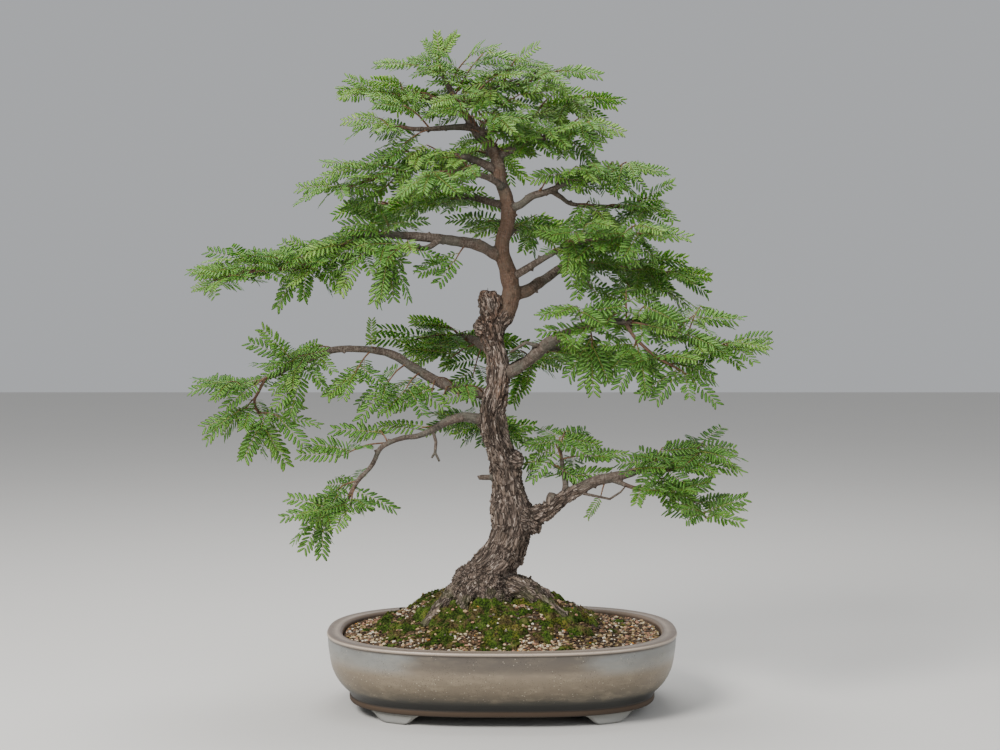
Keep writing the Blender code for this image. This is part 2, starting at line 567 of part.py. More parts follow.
def leaf_poses(index, twig, pitch):
    """Where each leaf of a shoot roots, and the way it heads and faces, with seeded draws."""
    draw = random.Random(LEAF_SEED + index)
    run = twig[-1] - twig[0]
    heading = math.atan2(run.y, run.x)
    facing = Vector((0, 1, 0)) if twig[-1].y > BACK_LEAVES_FROM else Vector((0, -1, 0))
    spacing = min(LEAF_SPACING, LEAVES_SPAN * run.length / (LEAF_CANDIDATES - 1))
    poses = []
    for number in range(LEAF_CANDIDATES):
        side = 1 if (number + index) % 2 else -1
        fan = END_FAN if number == 0 else min(FIRST_FAN + FAN_STEP * (number - 1), FAN_LIMIT)
        turn = heading + side * math.radians(fan + draw.uniform(-FAN_SWAY, FAN_SWAY))
        tilt = math.radians(pitch + draw.uniform(-PITCH_SWAY, PITCH_SWAY))
        length = LEAF_LENGTH * draw.uniform(*LEAF_LENGTHS)
        roll = draw.uniform(-ROLL_SWAY, ROLL_SWAY)
        share = 1 - number * spacing / run.length
        ahead = Vector((math.cos(turn) * math.cos(tilt), math.sin(turn) * math.cos(tilt), math.sin(tilt)))
        outward = Vector((math.cos(turn), math.sin(turn), 0))
        across = Vector((-math.sin(turn), math.cos(turn), 0))
        up = Vector((0, 0, FACE_UP)) + facing * FACE_SIDE + outward * FACE_OUT + across * roll
        poses.append((share, ahead, up, length))
    return poses


def leaf_bmesh(root, ahead, up, length, grow=0.0):
    """One thin arched blade in millimetres, cut to its rib into pairs of leaflets and an end leaflet."""
    bm = bmesh.new()
    side = ahead.cross(up).normalized()
    up = side.cross(ahead).normalized()

    def rib(share):
        return root + ahead * (length * share) - up * (length * LEAF_SAG * share * share)

    def ring(share, half, rise, drop):
        middle = rib(share)
        places = (middle + up * rise, middle - side * half - up * drop, middle + side * half - up * drop)
        return [bm.verts.new(place * MM) for place in places]

    half, rise, drop = RIB_HALF_WIDTH + grow, RIB_RISE + grow, RIB_DROP + grow
    first = ring(0.0, STALK_HALF_WIDTH + grow, STALK_HALF_WIDTH + grow, STALK_DROP + grow)
    bm.faces.new(first)
    pitch = (LEAF_LAST_PAIR - LEAF_STALK) / LEAF_PAIRS
    rings = [ring(LEAF_STALK + pitch * k, half, rise, drop) for k in range(LEAF_PAIRS + 1)]
    for a, b in ((0, 1), (1, 2), (2, 0)):
        bm.faces.new((first[a], first[b], rings[0][b], rings[0][a]))
    for k, (near, far) in enumerate(zip(rings, rings[1:])):
        middle = LEAF_STALK + pitch * (k + 0.5)
        width = LEAF_HALF_WIDTH * math.sin(math.pi * (LEAF_WIDEST[0] + LEAF_WIDEST[1] * middle)) + grow
        for edge, sign in ((1, -1), (2, 1)):
            reach = rib(middle + LEAFLET_LEAN) + side * (sign * width) - up * (LEAFLET_DROOP * width)
            tip = bm.verts.new(reach * MM)
            bm.faces.new((near[0], near[edge], tip))
            bm.faces.new((near[0], tip, far[0]))
            bm.faces.new((far[0], tip, far[edge]))
            bm.faces.new((near[edge], far[edge], tip))
        bm.faces.new((near[1], near[2], far[2], far[1]))
    tip = bm.verts.new(rib(1.0 + grow / length) * MM)
    last = rings[-1]
    bm.faces.new((last[0], last[1], tip))
    bm.faces.new((last[0], tip, last[2]))
    bm.faces.new((last[1], last[2], tip))
    bmesh.ops.recalc_face_normals(bm, faces=bm.faces)
    return bm


def leaf_tree(pose, root, grow=0.0):
    """A search tree of a leaf, or of the same leaf thickened by copies over and under it."""
    _, ahead, up, length = pose
    if not grow:
        bm = leaf_bmesh(root, ahead, up, length)
        tree = BVHTree.FromBMesh(bm)
        bm.free()
        return tree
    places = []
    faces = []
    for shift in (-grow, grow):
        bm = leaf_bmesh(root + up.normalized() * shift, ahead, up, length, grow)
        offset = len(places)
        bm.verts.index_update()
        places += [vertex.co.copy() for vertex in bm.verts]
        faces += [[offset + vertex.index for vertex in face.verts] for face in bm.faces]
        bm.free()
    return BVHTree.FromPolygons(places, faces)


def mesh_tree(mesh):
    bm = bmesh.new()
    bm.from_mesh(mesh)
    tree = BVHTree.FromBMesh(bm)
    bm.free()
    return tree


def wood_distance(mesh, wood_tree):
    """How far a mesh's corners stay off the wood, or a negative number if one is inside it."""
    nearest = math.inf
    for vertex in mesh.vertices:
        found, normal, _, distance = wood_tree.find_nearest(vertex.co)
        if (vertex.co - found).dot(normal) < 0:
            return -distance
        nearest = min(nearest, distance)
    return nearest


def seated_twig(name, points, wood_tree):
    """A shoot's stem with its root end seated just off the wood, and the share of its line left out."""
    total = sum((b - a).length for a, b in zip(points, points[1:]))
    for k in range(int(total / SEAT_STEP)):
        share = k * SEAT_STEP / total
        place = along(points, share) * MM
        found, normal, _, distance = wood_tree.find_nearest(place)
        if (place - found).dot(normal) < 0 or distance < GAP * MM:
            continue
        route = trimmed(points, share)
        mesh = tube_mesh(name, [(*point, TWIG_RADIUS) for point in route], TUBE_SIDES[1])
        if wood_distance(mesh, wood_tree) >= TWIG_SEAT * MM:
            thick = tube_mesh("thick", [(*point, TWIG_RADIUS + GAP) for point in route], TUBE_SIDES[1])
            touching = mesh_tree(thick).overlap(wood_tree)
            bpy.data.meshes.remove(thick)
            if not touching:
                return share, mesh
        bpy.data.meshes.remove(mesh)
    raise ValueError(f"{name} finds no place clear of the wood")


def trimmed(points, share):
    """A polyline from a share of its length to its end."""
    total = sum((b - a).length for a, b in zip(points, points[1:]))
    start = along(points, share)
    kept = [start]
    run = 0.0
    for a, b in zip(points, points[1:]):
        run += (b - a).length
        if run > share * total + TWIG_RADIUS:
            kept.append(b)
    return kept


def build_shoots(plant, wood):
    """Every shoot is a stem and the leaves of it that stand clear of all else, joined into one solid."""
    wood_tree = mesh_tree(wood.data)
    stems = []
    for number, (branch, share, tip, pitch) in enumerate(SHOOTS, 1):
        points = twig_points(branch, share, tip)
        start, mesh = seated_twig(f"shoot_{number:02d}", points, wood_tree)
        stems.append((points, start, pitch, mesh, mesh_tree(mesh)))
    placed = []
    for number, (points, start, pitch, mesh, _) in enumerate(stems, 1):
        obstacles = [wood_tree] + [stem[4] for k, stem in enumerate(stems, 1) if k != number]
        chosen = []
        wanted = LEAVES_INSIDE if SHOOTS[number - 1][1] < INSIDE_SHARE else LEAVES_AT_ENDS
        for crossing_allowed in (False, True):
            for pose in leaf_poses(number, points, pitch):
                if len(chosen) == wanted or pose[0] < start + TWIG_BARE or pose in chosen:
                    continue
                root = along(points, pose[0])
                near = [tree for owner, place, tree in placed if (place - root).length < NEAR_LEAVES
                        and not (crossing_allowed and owner == number)]
                thick = leaf_tree(pose, root, GAP)
                if any(thick.overlap(tree) for tree in obstacles + near):
                    continue
                chosen.append(pose)
                placed.append((number, root, leaf_tree(pose, root)))
        shoot = mesh_object(f"shoot_{number:02d}", mesh, plant)
        leaves = new_collection("leaves")
        for pose in chosen:
            _, ahead, up, length = pose
            blade = leaf_bmesh(along(points, pose[0]), ahead, up, length)
            bmesh_object("leaf", blade, leaves, split=False)
        apply_boolean(shoot, "UNION", leaves)
        shoot.data.materials.clear()
        shoot.data.materials.append(material("leaf"))


def stand_on_origin(plant):
    """Put the origin under the middle of the whole plant, by an empty that carries every piece."""
    corners = [vertex.co for item in plant.objects for vertex in item.data.vertices]
    middle = [(min(c[axis] for c in corners) + max(c[axis] for c in corners)) / 2 for axis in (0, 1)]
    carrier = bpy.data.objects.new("bonsai", None)
    plant.objects.link(carrier)
    carrier.location = (-middle[0], -middle[1], 0)
    for item in plant.objects:
        if item != carrier:
            item.parent = carrier
    bpy.context.view_layer.update()


def build():
    clear_scene()
    plant = new_collection("honey_locust_bonsai")
    build_pot(plant)
    build_screens(plant)
    build_soil(plant)
    wood = build_wood(plant)
    build_shoots(plant, wood)
    stand_on_origin(plant)


build()
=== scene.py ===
import math
import random
from itertools import product

import bmesh
import bpy
from mathutils import Matrix, Vector, noise
from mathutils.bvhtree import BVHTree
from mathutils.kdtree import KDTree


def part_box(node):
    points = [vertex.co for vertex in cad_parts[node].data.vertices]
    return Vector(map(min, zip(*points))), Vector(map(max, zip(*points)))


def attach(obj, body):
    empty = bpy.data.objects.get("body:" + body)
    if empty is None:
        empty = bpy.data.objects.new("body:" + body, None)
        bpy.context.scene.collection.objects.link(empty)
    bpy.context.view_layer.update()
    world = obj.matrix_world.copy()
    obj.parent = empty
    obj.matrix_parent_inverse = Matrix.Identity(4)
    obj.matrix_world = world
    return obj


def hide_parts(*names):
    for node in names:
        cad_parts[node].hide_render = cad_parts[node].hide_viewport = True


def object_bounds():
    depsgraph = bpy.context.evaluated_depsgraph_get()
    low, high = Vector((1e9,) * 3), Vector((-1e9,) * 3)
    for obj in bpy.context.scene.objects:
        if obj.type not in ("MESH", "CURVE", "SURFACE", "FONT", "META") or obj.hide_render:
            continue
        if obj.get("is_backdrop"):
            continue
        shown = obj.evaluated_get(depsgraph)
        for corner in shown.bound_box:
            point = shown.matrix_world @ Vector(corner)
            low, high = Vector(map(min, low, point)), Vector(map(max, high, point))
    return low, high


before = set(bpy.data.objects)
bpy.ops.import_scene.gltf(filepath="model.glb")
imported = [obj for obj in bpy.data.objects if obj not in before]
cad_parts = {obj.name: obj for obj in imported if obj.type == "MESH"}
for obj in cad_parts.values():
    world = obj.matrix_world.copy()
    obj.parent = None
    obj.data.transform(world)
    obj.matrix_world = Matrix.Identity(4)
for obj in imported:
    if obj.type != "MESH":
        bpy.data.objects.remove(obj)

cad_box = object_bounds()

# The pot is an oval bowl of thick stoneware, pressed in a mould and fired in one piece with its feet.
# A khaki glaze covers it down to a dark roll above the bare clay of the foot band, darkened partly by the
# glaze itself and partly by painted shade under the belly, with a painted highlight along the lip.
MM = 0.001
pot_low, pot_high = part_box("pot")
POT_MIDDLE = Vector(((pot_low.x + pot_high.x) / 2, (pot_low.y + pot_high.y) / 2, 0))
POT_HALF_LENGTH = (pot_high.x - pot_low.x) / 2 / MM
POT_HALF_DEPTH = (pot_high.y - pot_low.y) / 2 / MM
POT_SQUARENESS = (2.8, 2.5)     # at the base and at the lip
SQUARENESS_EASES = (18, 60)     # heights between which the base's oval eases into the lip's
POT_SIDES = 144
POT_WALL = (                    # (inset, height) in millimetres, from the foot band over the lip to the floor
    (27.5, 12), (26.6, 12.4), (26.1, 13.6), (26.1, 16.8), (26.5, 18.2), (26.7, 19), (25.6, 21), (22.6, 25),
    (17.4, 30), (12.4, 36), (8.6, 42.4), (5.8, 49), (3.8, 57), (2.4, 66), (1.4, 74), (1.2, 79.6),
    (1.1, 82.2), (0.3, 83.4), (0, 84.6), (0.4, 86), (1.6, 86.8), (4.2, 87), (7, 86.6), (11, 86.3),
    (14.2, 86.6), (16.2, 86.2), (17.4, 84.6), (18, 81.5), (18.2, 66), (18.5, 46), (26, 35.6), (36, 24),
)
LIP_INSIDE = 14.5               # inset where the lip turns down inside
FOOT_X = 118
FOOT_TALL = 14                  # with the part that reaches up into the base
FOOT_HALVES = ((0, 15), (3.5, 20.5), (8, 26), (11, 31.5), (14, 37))     # (height, half length): a flared foot
FOOT_INSETS = (30, 52)
FOOT_CUTS = 9
FOOT_EDGE = 3.4                 # radius of its worn edges
FOOT_END = 0.12                 # share of its length over which each end is worn round
DRAIN_X = 62
DRAIN_RADIUS = 12
DRAIN_DRILL = 40                # length of the drill, from the plane that the feet stand on
SHARP_FROM = 50                 # angle in degrees from which an edge of the pot stays crisp
GLAZE_TOP = 90                  # height at the end of the glaze's colours
# The colours by height hold a painted shadow line where the feet meet the band at 12.1 mm, painted shade on
# top of the glaze's own dark under the belly from 18.6 to 29 mm, and a painted highlight along the lip's
# outer edge from 83.8 to 86.2 mm.
GLAZE_AND_PAINTED_LIGHT_BY_HEIGHT = (             # (height in millimetres, colour)
    (0, (146, 146, 143)), (11.4, (130, 129, 123)), (12.1, (30, 24, 18)), (13.2, (62, 49, 36)),
    (17, (74, 58, 43)), (18.6, (42, 34, 27)), (19.8, (24, 24, 22)), (25, (28, 28, 25)), (29, (54, 52, 44)),
    (34, (94, 86, 72)), (44, (117, 105, 88)), (56, (128, 115, 97)), (63, (132, 119, 102)),
    (69, (115, 105, 92)), (76, (102, 95, 86)), (81.4, (86, 80, 73)), (82.6, (60, 51, 44)),
    (83.8, (140, 127, 114)), (85.6, (192, 177, 160)), (86.2, (172, 157, 142)), (86.6, (122, 108, 97)),
)


def at(x, y, z):
    """A place in millimetres from the middle of the pot, as a point of the frame."""
    return Vector((x, y, z)) * MM + POT_MIDDLE


def smooth_line(points, steps):
    """Values read from a smooth curve through the given rows, steps to each stretch."""
    rows = [points[0]] + list(points) + [points[-1]]
    made = []
    for a, b, c, d in zip(rows, rows[1:], rows[2:], rows[3:]):
        for k in range(steps):
            t = k / steps
            made.append(tuple(
                0.5 * (2 * q + (r - p) * t
                       + (2 * p - 5 * q + 4 * r - s) * t ** 2
                       + (3 * q - p - 3 * r + s) * t ** 3)
                for p, q, r, s in zip(a, b, c, d)))
    made.append(tuple(points[-1]))
    return made


def squareness(z):
    """How boxy the pot's oval is at a height: 2 is an ellipse, and its base is boxier than its lip."""
    base_z, eased_z = SQUARENESS_EASES
    base, lip = POT_SQUARENESS
    return base + (lip - base) * min(max((z - base_z) / (eased_z - base_z), 0), 1)


def oval_depth(x, inset):
    """How far the base's oval reaches front and back at a given x."""
    share = min(abs(x) / (POT_HALF_LENGTH - inset), 1)
    return (POT_HALF_DEPTH - inset) * (1 - share ** POT_SQUARENESS[0]) ** (1 / POT_SQUARENESS[0])


def read_table(rows, value):
    """A value read from (place, value) rows, straight between them."""
    for (a, low), (b, high) in zip(rows, rows[1:]):
        if value <= b:
            return low + (high - low) * (value - a) / (b - a)
    return rows[-1][1]


def mesh_of(bm, name):
    """A bmesh as a mesh."""
    mesh = bpy.data.meshes.new(name)
    bm.to_mesh(mesh)
    bm.free()
    return mesh


def put_in_scene(name, data):
    holder = bpy.data.objects.new(name, data)
    bpy.context.scene.collection.objects.link(holder)
    return holder


def finished_piece(name, bm, *finishes, slot=None):
    """A bmesh as an object that rides on the plant, shaded smooth, with its finishes; the slot argument is
    not used.
    """
    mesh = mesh_of(bm, name)
    for finish in finishes:
        mesh.materials.append(finish)
    mesh.shade_smooth()
    piece = put_in_scene(name, mesh)
    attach(piece, "root")
    return piece


def gather(whole, batch):
    """Moves a small bmesh into a large one; many small parts are quick to add only to a small one."""
    mesh = mesh_of(batch, "batch")
    whole.from_mesh(mesh)
    bpy.data.meshes.remove(mesh)


def next_ring(bm, rim):
    """Draws an open rim of edges on by one ring: the new ring's corners and edges, still in place."""
    drawn = bmesh.ops.extrude_edge_only(bm, edges=rim)["geom"]
    ring = [item for item in drawn if isinstance(item, bmesh.types.BMVert)]
    return ring, [item for item in drawn if isinstance(item, bmesh.types.BMEdge) and item.is_boundary]


def drawn_up(bm, sides, rows):
    """Draws a closed tube from row to row, and gives each row with its (corner, turn) pairs to be placed."""
    turn_layer = bm.verts.layers.float.new("turn")
    bmesh.ops.create_circle(bm, cap_ends=True, segments=sides, radius=1)
    ring, rim = list(bm.verts), list(bm.edges)
    for corner in ring:
        corner[turn_layer] = math.atan2(corner.co.y, corner.co.x)
    for number, row in enumerate(rows):
        if number:
            ring, rim = next_ring(bm, rim)
        yield row, [(corner, corner[turn_layer]) for corner in ring]
    bmesh.ops.edgeloop_fill(bm, edges=rim)


def evaluated(piece):
    bpy.context.view_layer.update()
    return bpy.data.meshes.new_from_object(piece.evaluated_get(bpy.context.evaluated_depsgraph_get()))


def paint(red, green, blue):
    """A colour given as it looks on a screen, from 0 to 255, as the linear colour that shaders take."""
    linear = [((c / 255 + 0.055) / 1.055) ** 2.4 if c > 10 else c / 255 / 12.92 for c in (red, green, blue)]
    return (*linear, 1)


class Wire:
    """One shader socket, so that a finish is worked out in plain sums."""

    def __init__(self, tree, socket=None):
        self.tree = tree
        self.socket = socket

    def node(self, kind, settings=None, inputs=None, output=0):
        made = self.tree.nodes.new(kind)
        for key, value in (settings or {}).items():
            if key == "stops":
                ramp = made.color_ramp.elements
                while len(ramp) < len(value):
                    ramp.new(1)
                for stop, (place, colour) in zip(ramp, value):
                    stop.position = place
                    stop.color = colour
            else:
                setattr(made, key, value)
        for key, value in (inputs or {}).items():
            if isinstance(value, Wire):
                self.tree.links.new(value.socket, made.inputs[key])
            else:
                made.inputs[key].default_value = value
        return Wire(self.tree, made.outputs[output])

    def sum(self, operation, first, second=0.0):
        return self.node("ShaderNodeMath", {"operation": operation}, {0: first, 1: second})

    def __add__(self, other):
        return self.sum("ADD", self, other)

    __radd__ = __add__

    def __mul__(self, other):
        return self.sum("MULTIPLY", self, other)

    __rmul__ = __mul__

    def __sub__(self, other):
        return self.sum("SUBTRACT", self, other)

    def __rsub__(self, other):
        return self.sum("SUBTRACT", other, self)

    def between(self, low, high):
        """0 at low, 1 at high, eased between."""
        settings = {"interpolation_type": "SMOOTHSTEP"}
        return self.node("ShaderNodeMapRange", settings, {0: self, 1: low, 2: high})

    def mix(self, factor, first, second):
        return self.node("ShaderNodeMix", {"data_type": "RGBA"}, {0: factor, 6: first, 7: second}, 2)

    def ramp(self, stops):
        return self.node("ShaderNodeValToRGB", {"stops": stops}, {0: self})

    def bump(self, height, distance, strength=1.0):
        return self.node("ShaderNodeBump", {}, {"Height": height, "Distance": distance, "Strength": strength})

    def grain(self, places, scale, detail=3.0, roughness=0.55):
        """Soft noise from 0 to 1 on the given places."""
        inputs = {"Vector": places, "Scale": scale, "Detail": detail, "Roughness": roughness}
        return self.node("ShaderNodeTexNoise", {}, inputs)

    def cells(self, places, scale):
        return self.node("ShaderNodeTexVoronoi", {}, {"Vector": places, "Scale": scale})

    def layer(self, name, output=2):
        """What the mesh holds under a name, as a number or, from output 1, as a vector."""
        return self.node("ShaderNodeAttribute", {"attribute_name": name}, output=output)

    def axis(self, places, number):
        return self.node("ShaderNodeSeparateXYZ", {}, {0: places}, number)

    def stretched(self, places, *scale):
        return self.node("ShaderNodeMapping", {}, {"Vector": places, "Scale": scale})


def new_finish(name, roughness, specular=0.5):
    """A material with its shader, a wire to start from, and the object's own coordinates."""
    finish = bpy.data.materials.new(name)
    finish.use_nodes = True
    shader = finish.node_tree.nodes["Principled BSDF"]
    shader.inputs["Roughness"].default_value = roughness
    shader.inputs["Specular IOR Level"].default_value = specular
    start = Wire(finish.node_tree)
    places = start.node("ShaderNodeTexCoord", output=3)
    return finish, shader, start, places


def feed(shader, socket, wire):
    wire.tree.links.new(wire.socket, shader.inputs[socket])


glaze, shader, start, places = new_finish("khaki_glaze", 0.36)
height = start.axis(places, 2) * (1 / MM)
flow = start.stretched(places, 1, 1, 3)
drift = start.grain(flow, 14, 4) - 0.5
mottle = start.grain(flow, 46, 5, 0.65)
open_wall = height.between(25, 35) * (1 - height.between(80, 83))
wavy = height + drift * (open_wall * 12 + 0.6)
# The ramp by height paints the shadow line above the feet, the shade under the belly and the highlight along
# the lip.
colour = (wavy * (1 / GLAZE_TOP)).ramp([(z / GLAZE_TOP, paint(*tint)) for z, tint in GLAZE_AND_PAINTED_LIGHT_BY_HEIGHT])
colour = start.mix(mottle.between(0.45, 0.7) * open_wall * 0.4, colour, paint(156, 143, 120))
aside = start.sum("ABSOLUTE", start.axis(places, 0) * (1 / MM) - POT_MIDDLE.x / MM) + drift * 90
smudge = (1 - aside.between(50, 120)) * height.between(60, 68) * open_wall
smudge = smudge * (start.grain(flow, 30, 3) * 0.8 + 0.4)
colour = start.mix(smudge * 0.8, colour, paint(92, 84, 76))
blue = aside.between(70, 130) * height.between(54, 68) * (start.grain(flow, 22, 3) * 0.9 + 0.2) * open_wall
colour = start.mix(blue * 0.75, colour, paint(150, 154, 152))
speckled = start.grain(places, 70, 2) + height.between(28, 34) * (1 - height.between(50, 66)) * 0.12
iron = (1 - start.cells(places, 330).between(0.10, 0.2)) * speckled.between(0.52, 0.62)
pinholes = (1 - start.cells(places, 640).between(0.14, 0.26)) * speckled.between(0.46, 0.56)
pits = start.sum("MAXIMUM", iron, pinholes) * height.between(24, 30)
colour = start.mix(pits * 0.7, colour, paint(52, 45, 38))
pale = (1 - start.cells(places, 260).between(0.08, 0.18)) * speckled.between(0.5, 0.62) * open_wall
colour = start.mix(pale * 0.6, colour, paint(206, 196, 174))
colour = start.mix(start.layer("inner").between(0.0, 1.0) * 0.8, colour, paint(96, 78, 64))
feed(shader, "Base Color", colour)
bare = 1 - height.between(18.2, 19.2)
feed(shader, "Roughness", bare * 0.4 + mottle * 0.22 + 0.26)
relief = mottle * 0.5 - pits * 0.5 + start.grain(places, 420, 2) * 0.25
feed(shader, "Normal", start.bump(relief, 0.0006, 0.45))

bowl = bmesh.new()
inner_layer = bowl.verts.layers.float.new("inner")
for (inset, z), ring in drawn_up(bowl, POT_SIDES, smooth_line(POT_WALL, 2)):
    for corner, turn in ring:
        across, deep = math.cos(turn), math.sin(turn)
        across = math.copysign(abs(across) ** (2 / squareness(z)), across)
        deep = math.copysign(abs(deep) ** (2 / squareness(z)), deep)
        corner[inner_layer] = 1.0 if inset > LIP_INSIDE and z > SQUARENESS_EASES[1] else 0.0
        corner.co = Vector(((POT_HALF_LENGTH - inset) * across, (POT_HALF_DEPTH - inset) * deep, z)) * MM
bmesh.ops.translate(bowl, vec=POT_MIDDLE, verts=bowl.verts)
bmesh.ops.recalc_face_normals(bowl, faces=bowl.faces)
pot = finished_piece("glazed_pot", bowl, glaze, slot="glazed_stoneware")

feet = bmesh.new()
feet.verts.layers.float.new("inner")
for side_x in (-1, 1):
    for side_y in (-1, 1):
        foot = bmesh.new()
        bmesh.ops.create_cube(foot, size=1)
        bmesh.ops.subdivide_edges(foot, edges=foot.edges, cuts=FOOT_CUTS, use_grid_fill=True)
        slope = (oval_depth(FOOT_X + 1, FOOT_INSETS[0]) - oval_depth(FOOT_X - 1, FOOT_INSETS[0])) / 2
        for corner in foot.verts:
            share, out, up = corner.co
            z = (up + 0.5) * FOOT_TALL
            lift = max(1 - z / FOOT_EDGE, 0)
            end = max(abs(share) - (0.5 - FOOT_END), 0) / FOOT_END
            worn = FOOT_EDGE * (2 - math.sqrt(1 - lift ** 2) - math.sqrt(1 - min(end, 1) ** 2))
            half = read_table(FOOT_HALVES, z)
            x = FOOT_X + share * 2 * (half - 0.4 * lift * FOOT_EDGE) / math.hypot(1, slope)
            inset = FOOT_INSETS[0] + worn + (0.5 - out) * (FOOT_INSETS[1] - FOOT_INSETS[0] - 2 * worn)
            y = oval_depth(x, FOOT_INSETS[0]) - (inset - FOOT_INSETS[0])
            corner.co = at(side_x * x, side_y * y, z)
        gather(feet, foot)
for x in (-DRAIN_X, DRAIN_X):
    bit = bmesh.new()
    bmesh.ops.create_cone(
        bit, cap_ends=True, segments=48, radius1=DRAIN_RADIUS * MM, radius2=DRAIN_RADIUS * MM,
        depth=DRAIN_DRILL * MM, matrix=Matrix.Translation(at(x, 0, DRAIN_DRILL / 2)))
    drill = put_in_scene("drill", mesh_of(bit, "drill"))
    cut = pot.modifiers.new("Drain", "BOOLEAN")
    cut.operation = "DIFFERENCE"
    cut.object = drill
    pot.data = evaluated(pot)
    pot.modifiers.clear()
    bpy.data.objects.remove(drill)
feet.from_mesh(pot.data)
bmesh.ops.recalc_face_normals(feet, faces=feet.faces)
feet.to_mesh(pot.data)
feet.free()
pot.data.shade_smooth()
pot.data.set_sharp_from_angle(angle=math.radians(SHARP_FROM))
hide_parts("pot")

# Two squares of black plastic mesh keep the soil in over the drain holes.
# They lie loose on the pot's floor under the soil and show only from below.
mesh_plastic, shader, start, places = new_finish("black_mesh", 0.55)
across = start.node("ShaderNodeTexWave", {"wave_profile": "SIN"}, {"Vector": places, "Scale": 160.0})
deep = start.node(
    "ShaderNodeTexWave", {"wave_profile": "SIN", "bands_direction": "Y"}, {"Vector": places, "Scale": 160.0})
strands = start.sum("MAXIMUM", across, deep)
feed(shader, "Base Color", start.mix(strands.between(0.5, 0.8), paint(8, 8, 8), paint(44, 44, 42)))
feed(shader, "Normal", start.bump(strands, 0.0008, 0.8))
for name in ("drain_screen_left", "drain_screen_right"):
    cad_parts[name].data.materials.clear()
    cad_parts[name].data.materials.append(mesh_plastic)

# The soil is a gritty mix heaped up to the roots, dark where it is damp between the grains.
# It is packed in by hand, so it has no edge of its own other than the pot's wall.
damp_soil, shader, start, places = new_finish("damp_soil", 0.95, 0.25)
clods = start.grain(places, 160, 5, 0.7)
fines = start.grain(places, 700, 3)
colour = start.mix(clods.between(0.35, 0.65), paint(42, 32, 24), paint(92, 73, 53))
feed(shader, "Base Color", start.mix(fines.between(0.5, 0.7) * 0.6, colour, paint(142, 120, 88)))
feed(shader, "Normal", start.bump(clods + fines * 0.5, 0.002, 0.9))
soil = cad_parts["soil"]
soil.data.materials.clear()
soil.data.materials.append(damp_soil)

# Loose grit lies over the soil: pumice, fired clay and granite chips of 3 to 6 mm, sieved and scattered.
# Each chip is a rough little stone of its own, thinner towards the mound where moss has taken over.
GRIT_COUNT = 10400
GRIT_RADIUS = (0.9, 2.6, 1.5)   # smallest, largest and usual
GRIT_ROUGHNESS = (0.72, 1.12)   # how far a chip's corners lie in and out
GRIT_OFF_WOOD = 1.5
GRIT_WALL_INSET = 20.5
GRIT_SHAPES = 10
CHIPS_OFF_MOSS = 0.92           # share of the chips that moss has swallowed where it grows
CHIPS_SINK_FROM = 0.4           # depth of moss from which it swallows them
MOUND_DEPTH_SCALE = 0.72
MOSS_THICK = 7.0
MOSS_TOP = 7.5
MOSS_MIDDLE = (-14, -8)
MOSS_REACH = (84, 176)          # full inside the first distance, gone past the second
GRIT_TONES = (
    (0.0, (52, 42, 36)), (0.12, (80, 63, 48)), (0.26, (106, 84, 62)), (0.38, (132, 106, 78)),
    (0.48, (148, 132, 82)), (0.56, (130, 122, 112)), (0.63, (184, 138, 112)), (0.72, (190, 162, 122)),
    (0.82, (218, 202, 166)), (0.93, (238, 228, 208)), (0.985, (206, 138, 54)),
)
PINK_PATCH = (-128, 34, 36)     # middle and reach of a patch of pinkish fired clay
PINK_SHARE = 0.6
PINK_TONE = 0.67
DARK_SIDE = 70                  # the grit is darker to the right of this
ABOVE_SOIL = 200                # a height that is clear of the mound
SCATTER_BATCH = 60


def search_tree(piece):
    bm = bmesh.new()
    bm.from_mesh(piece.data)
    tree = BVHTree.FromBMesh(bm)
    bm.free()
    return tree


def ground(x, y):
    """The soil's surface under a place, or None off the soil."""
    return soil_tree.ray_cast(at(x, y, ABOVE_SOIL), Vector((0, 0, -1)))[0]


def add_copy(bm, mesh):
    """Adds a mesh to a bmesh and gives the corners that it brought."""
    count = len(bm.verts)
    bm.from_mesh(mesh)
    bm.verts.ensure_lookup_table()
    return bm.verts[count:]


def scattered(layer, copies, first=None):
    """A bmesh of many copies, each (mesh, matrix, value of the layer or None), with a first mesh if given."""
    whole = bmesh.new()
    whole.verts.layers.float.new(layer)
    if first:
        whole.from_mesh(first)
    for start in range(0, len(copies), SCATTER_BATCH):
        batch = bmesh.new()
        value_layer = batch.verts.layers.float.new(layer)
        for mesh, matrix, value in copies[start:start + SCATTER_BATCH]:
            corners = add_copy(batch, mesh)
            bmesh.ops.transform(batch, matrix=matrix, verts=corners)
            if value is not None:
                for corner in corners:
                    corner[value_layer] = value
        gather(whole, batch)
    return whole


def moss_depth(x, y):
    """How thick the moss is at a place in millimetres; below nought there is none."""
    run = math.hypot(x - MOSS_MIDDLE[0], (y - MOSS_MIDDLE[1]) / MOUND_DEPTH_SCALE)
    reach = 1 - min(max((run - MOSS_REACH[0]) / (MOSS_REACH[1] - MOSS_REACH[0]), 0), 1)
    clumps = noise.fractal(Vector((x / 24, y / 16, 3.7)), 1.0, 2.1, 4)
    return MOSS_THICK * (1.34 * reach - 0.74 + 1.3 * clumps)


def inside_pot(x, y, inset):
    """Whether a place lies this far inside the pot's oval at its lip."""
    power = POT_SQUARENESS[1]
    return (abs(x) / (POT_HALF_LENGTH - inset)) ** power + (abs(y) / (POT_HALF_DEPTH - inset)) ** power < 1


soil_tree = search_tree(soil)
wood_tree = search_tree(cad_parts["trunk"])

chip_finish, shader, start, places = new_finish("mixed_grit", 0.85, 0.35)
tones = start.layer("tone").ramp([(place, paint(*tint)) for place, tint in GRIT_TONES])
tones.socket.node.color_ramp.interpolation = "CONSTANT"
speck = start.grain(places, 1400, 2)
colour = start.mix(speck.between(0.42, 0.64) * 0.35, tones, paint(82, 64, 48))
feed(shader, "Base Color", colour)
feed(shader, "Normal", start.bump(speck, 0.0006, 0.6))

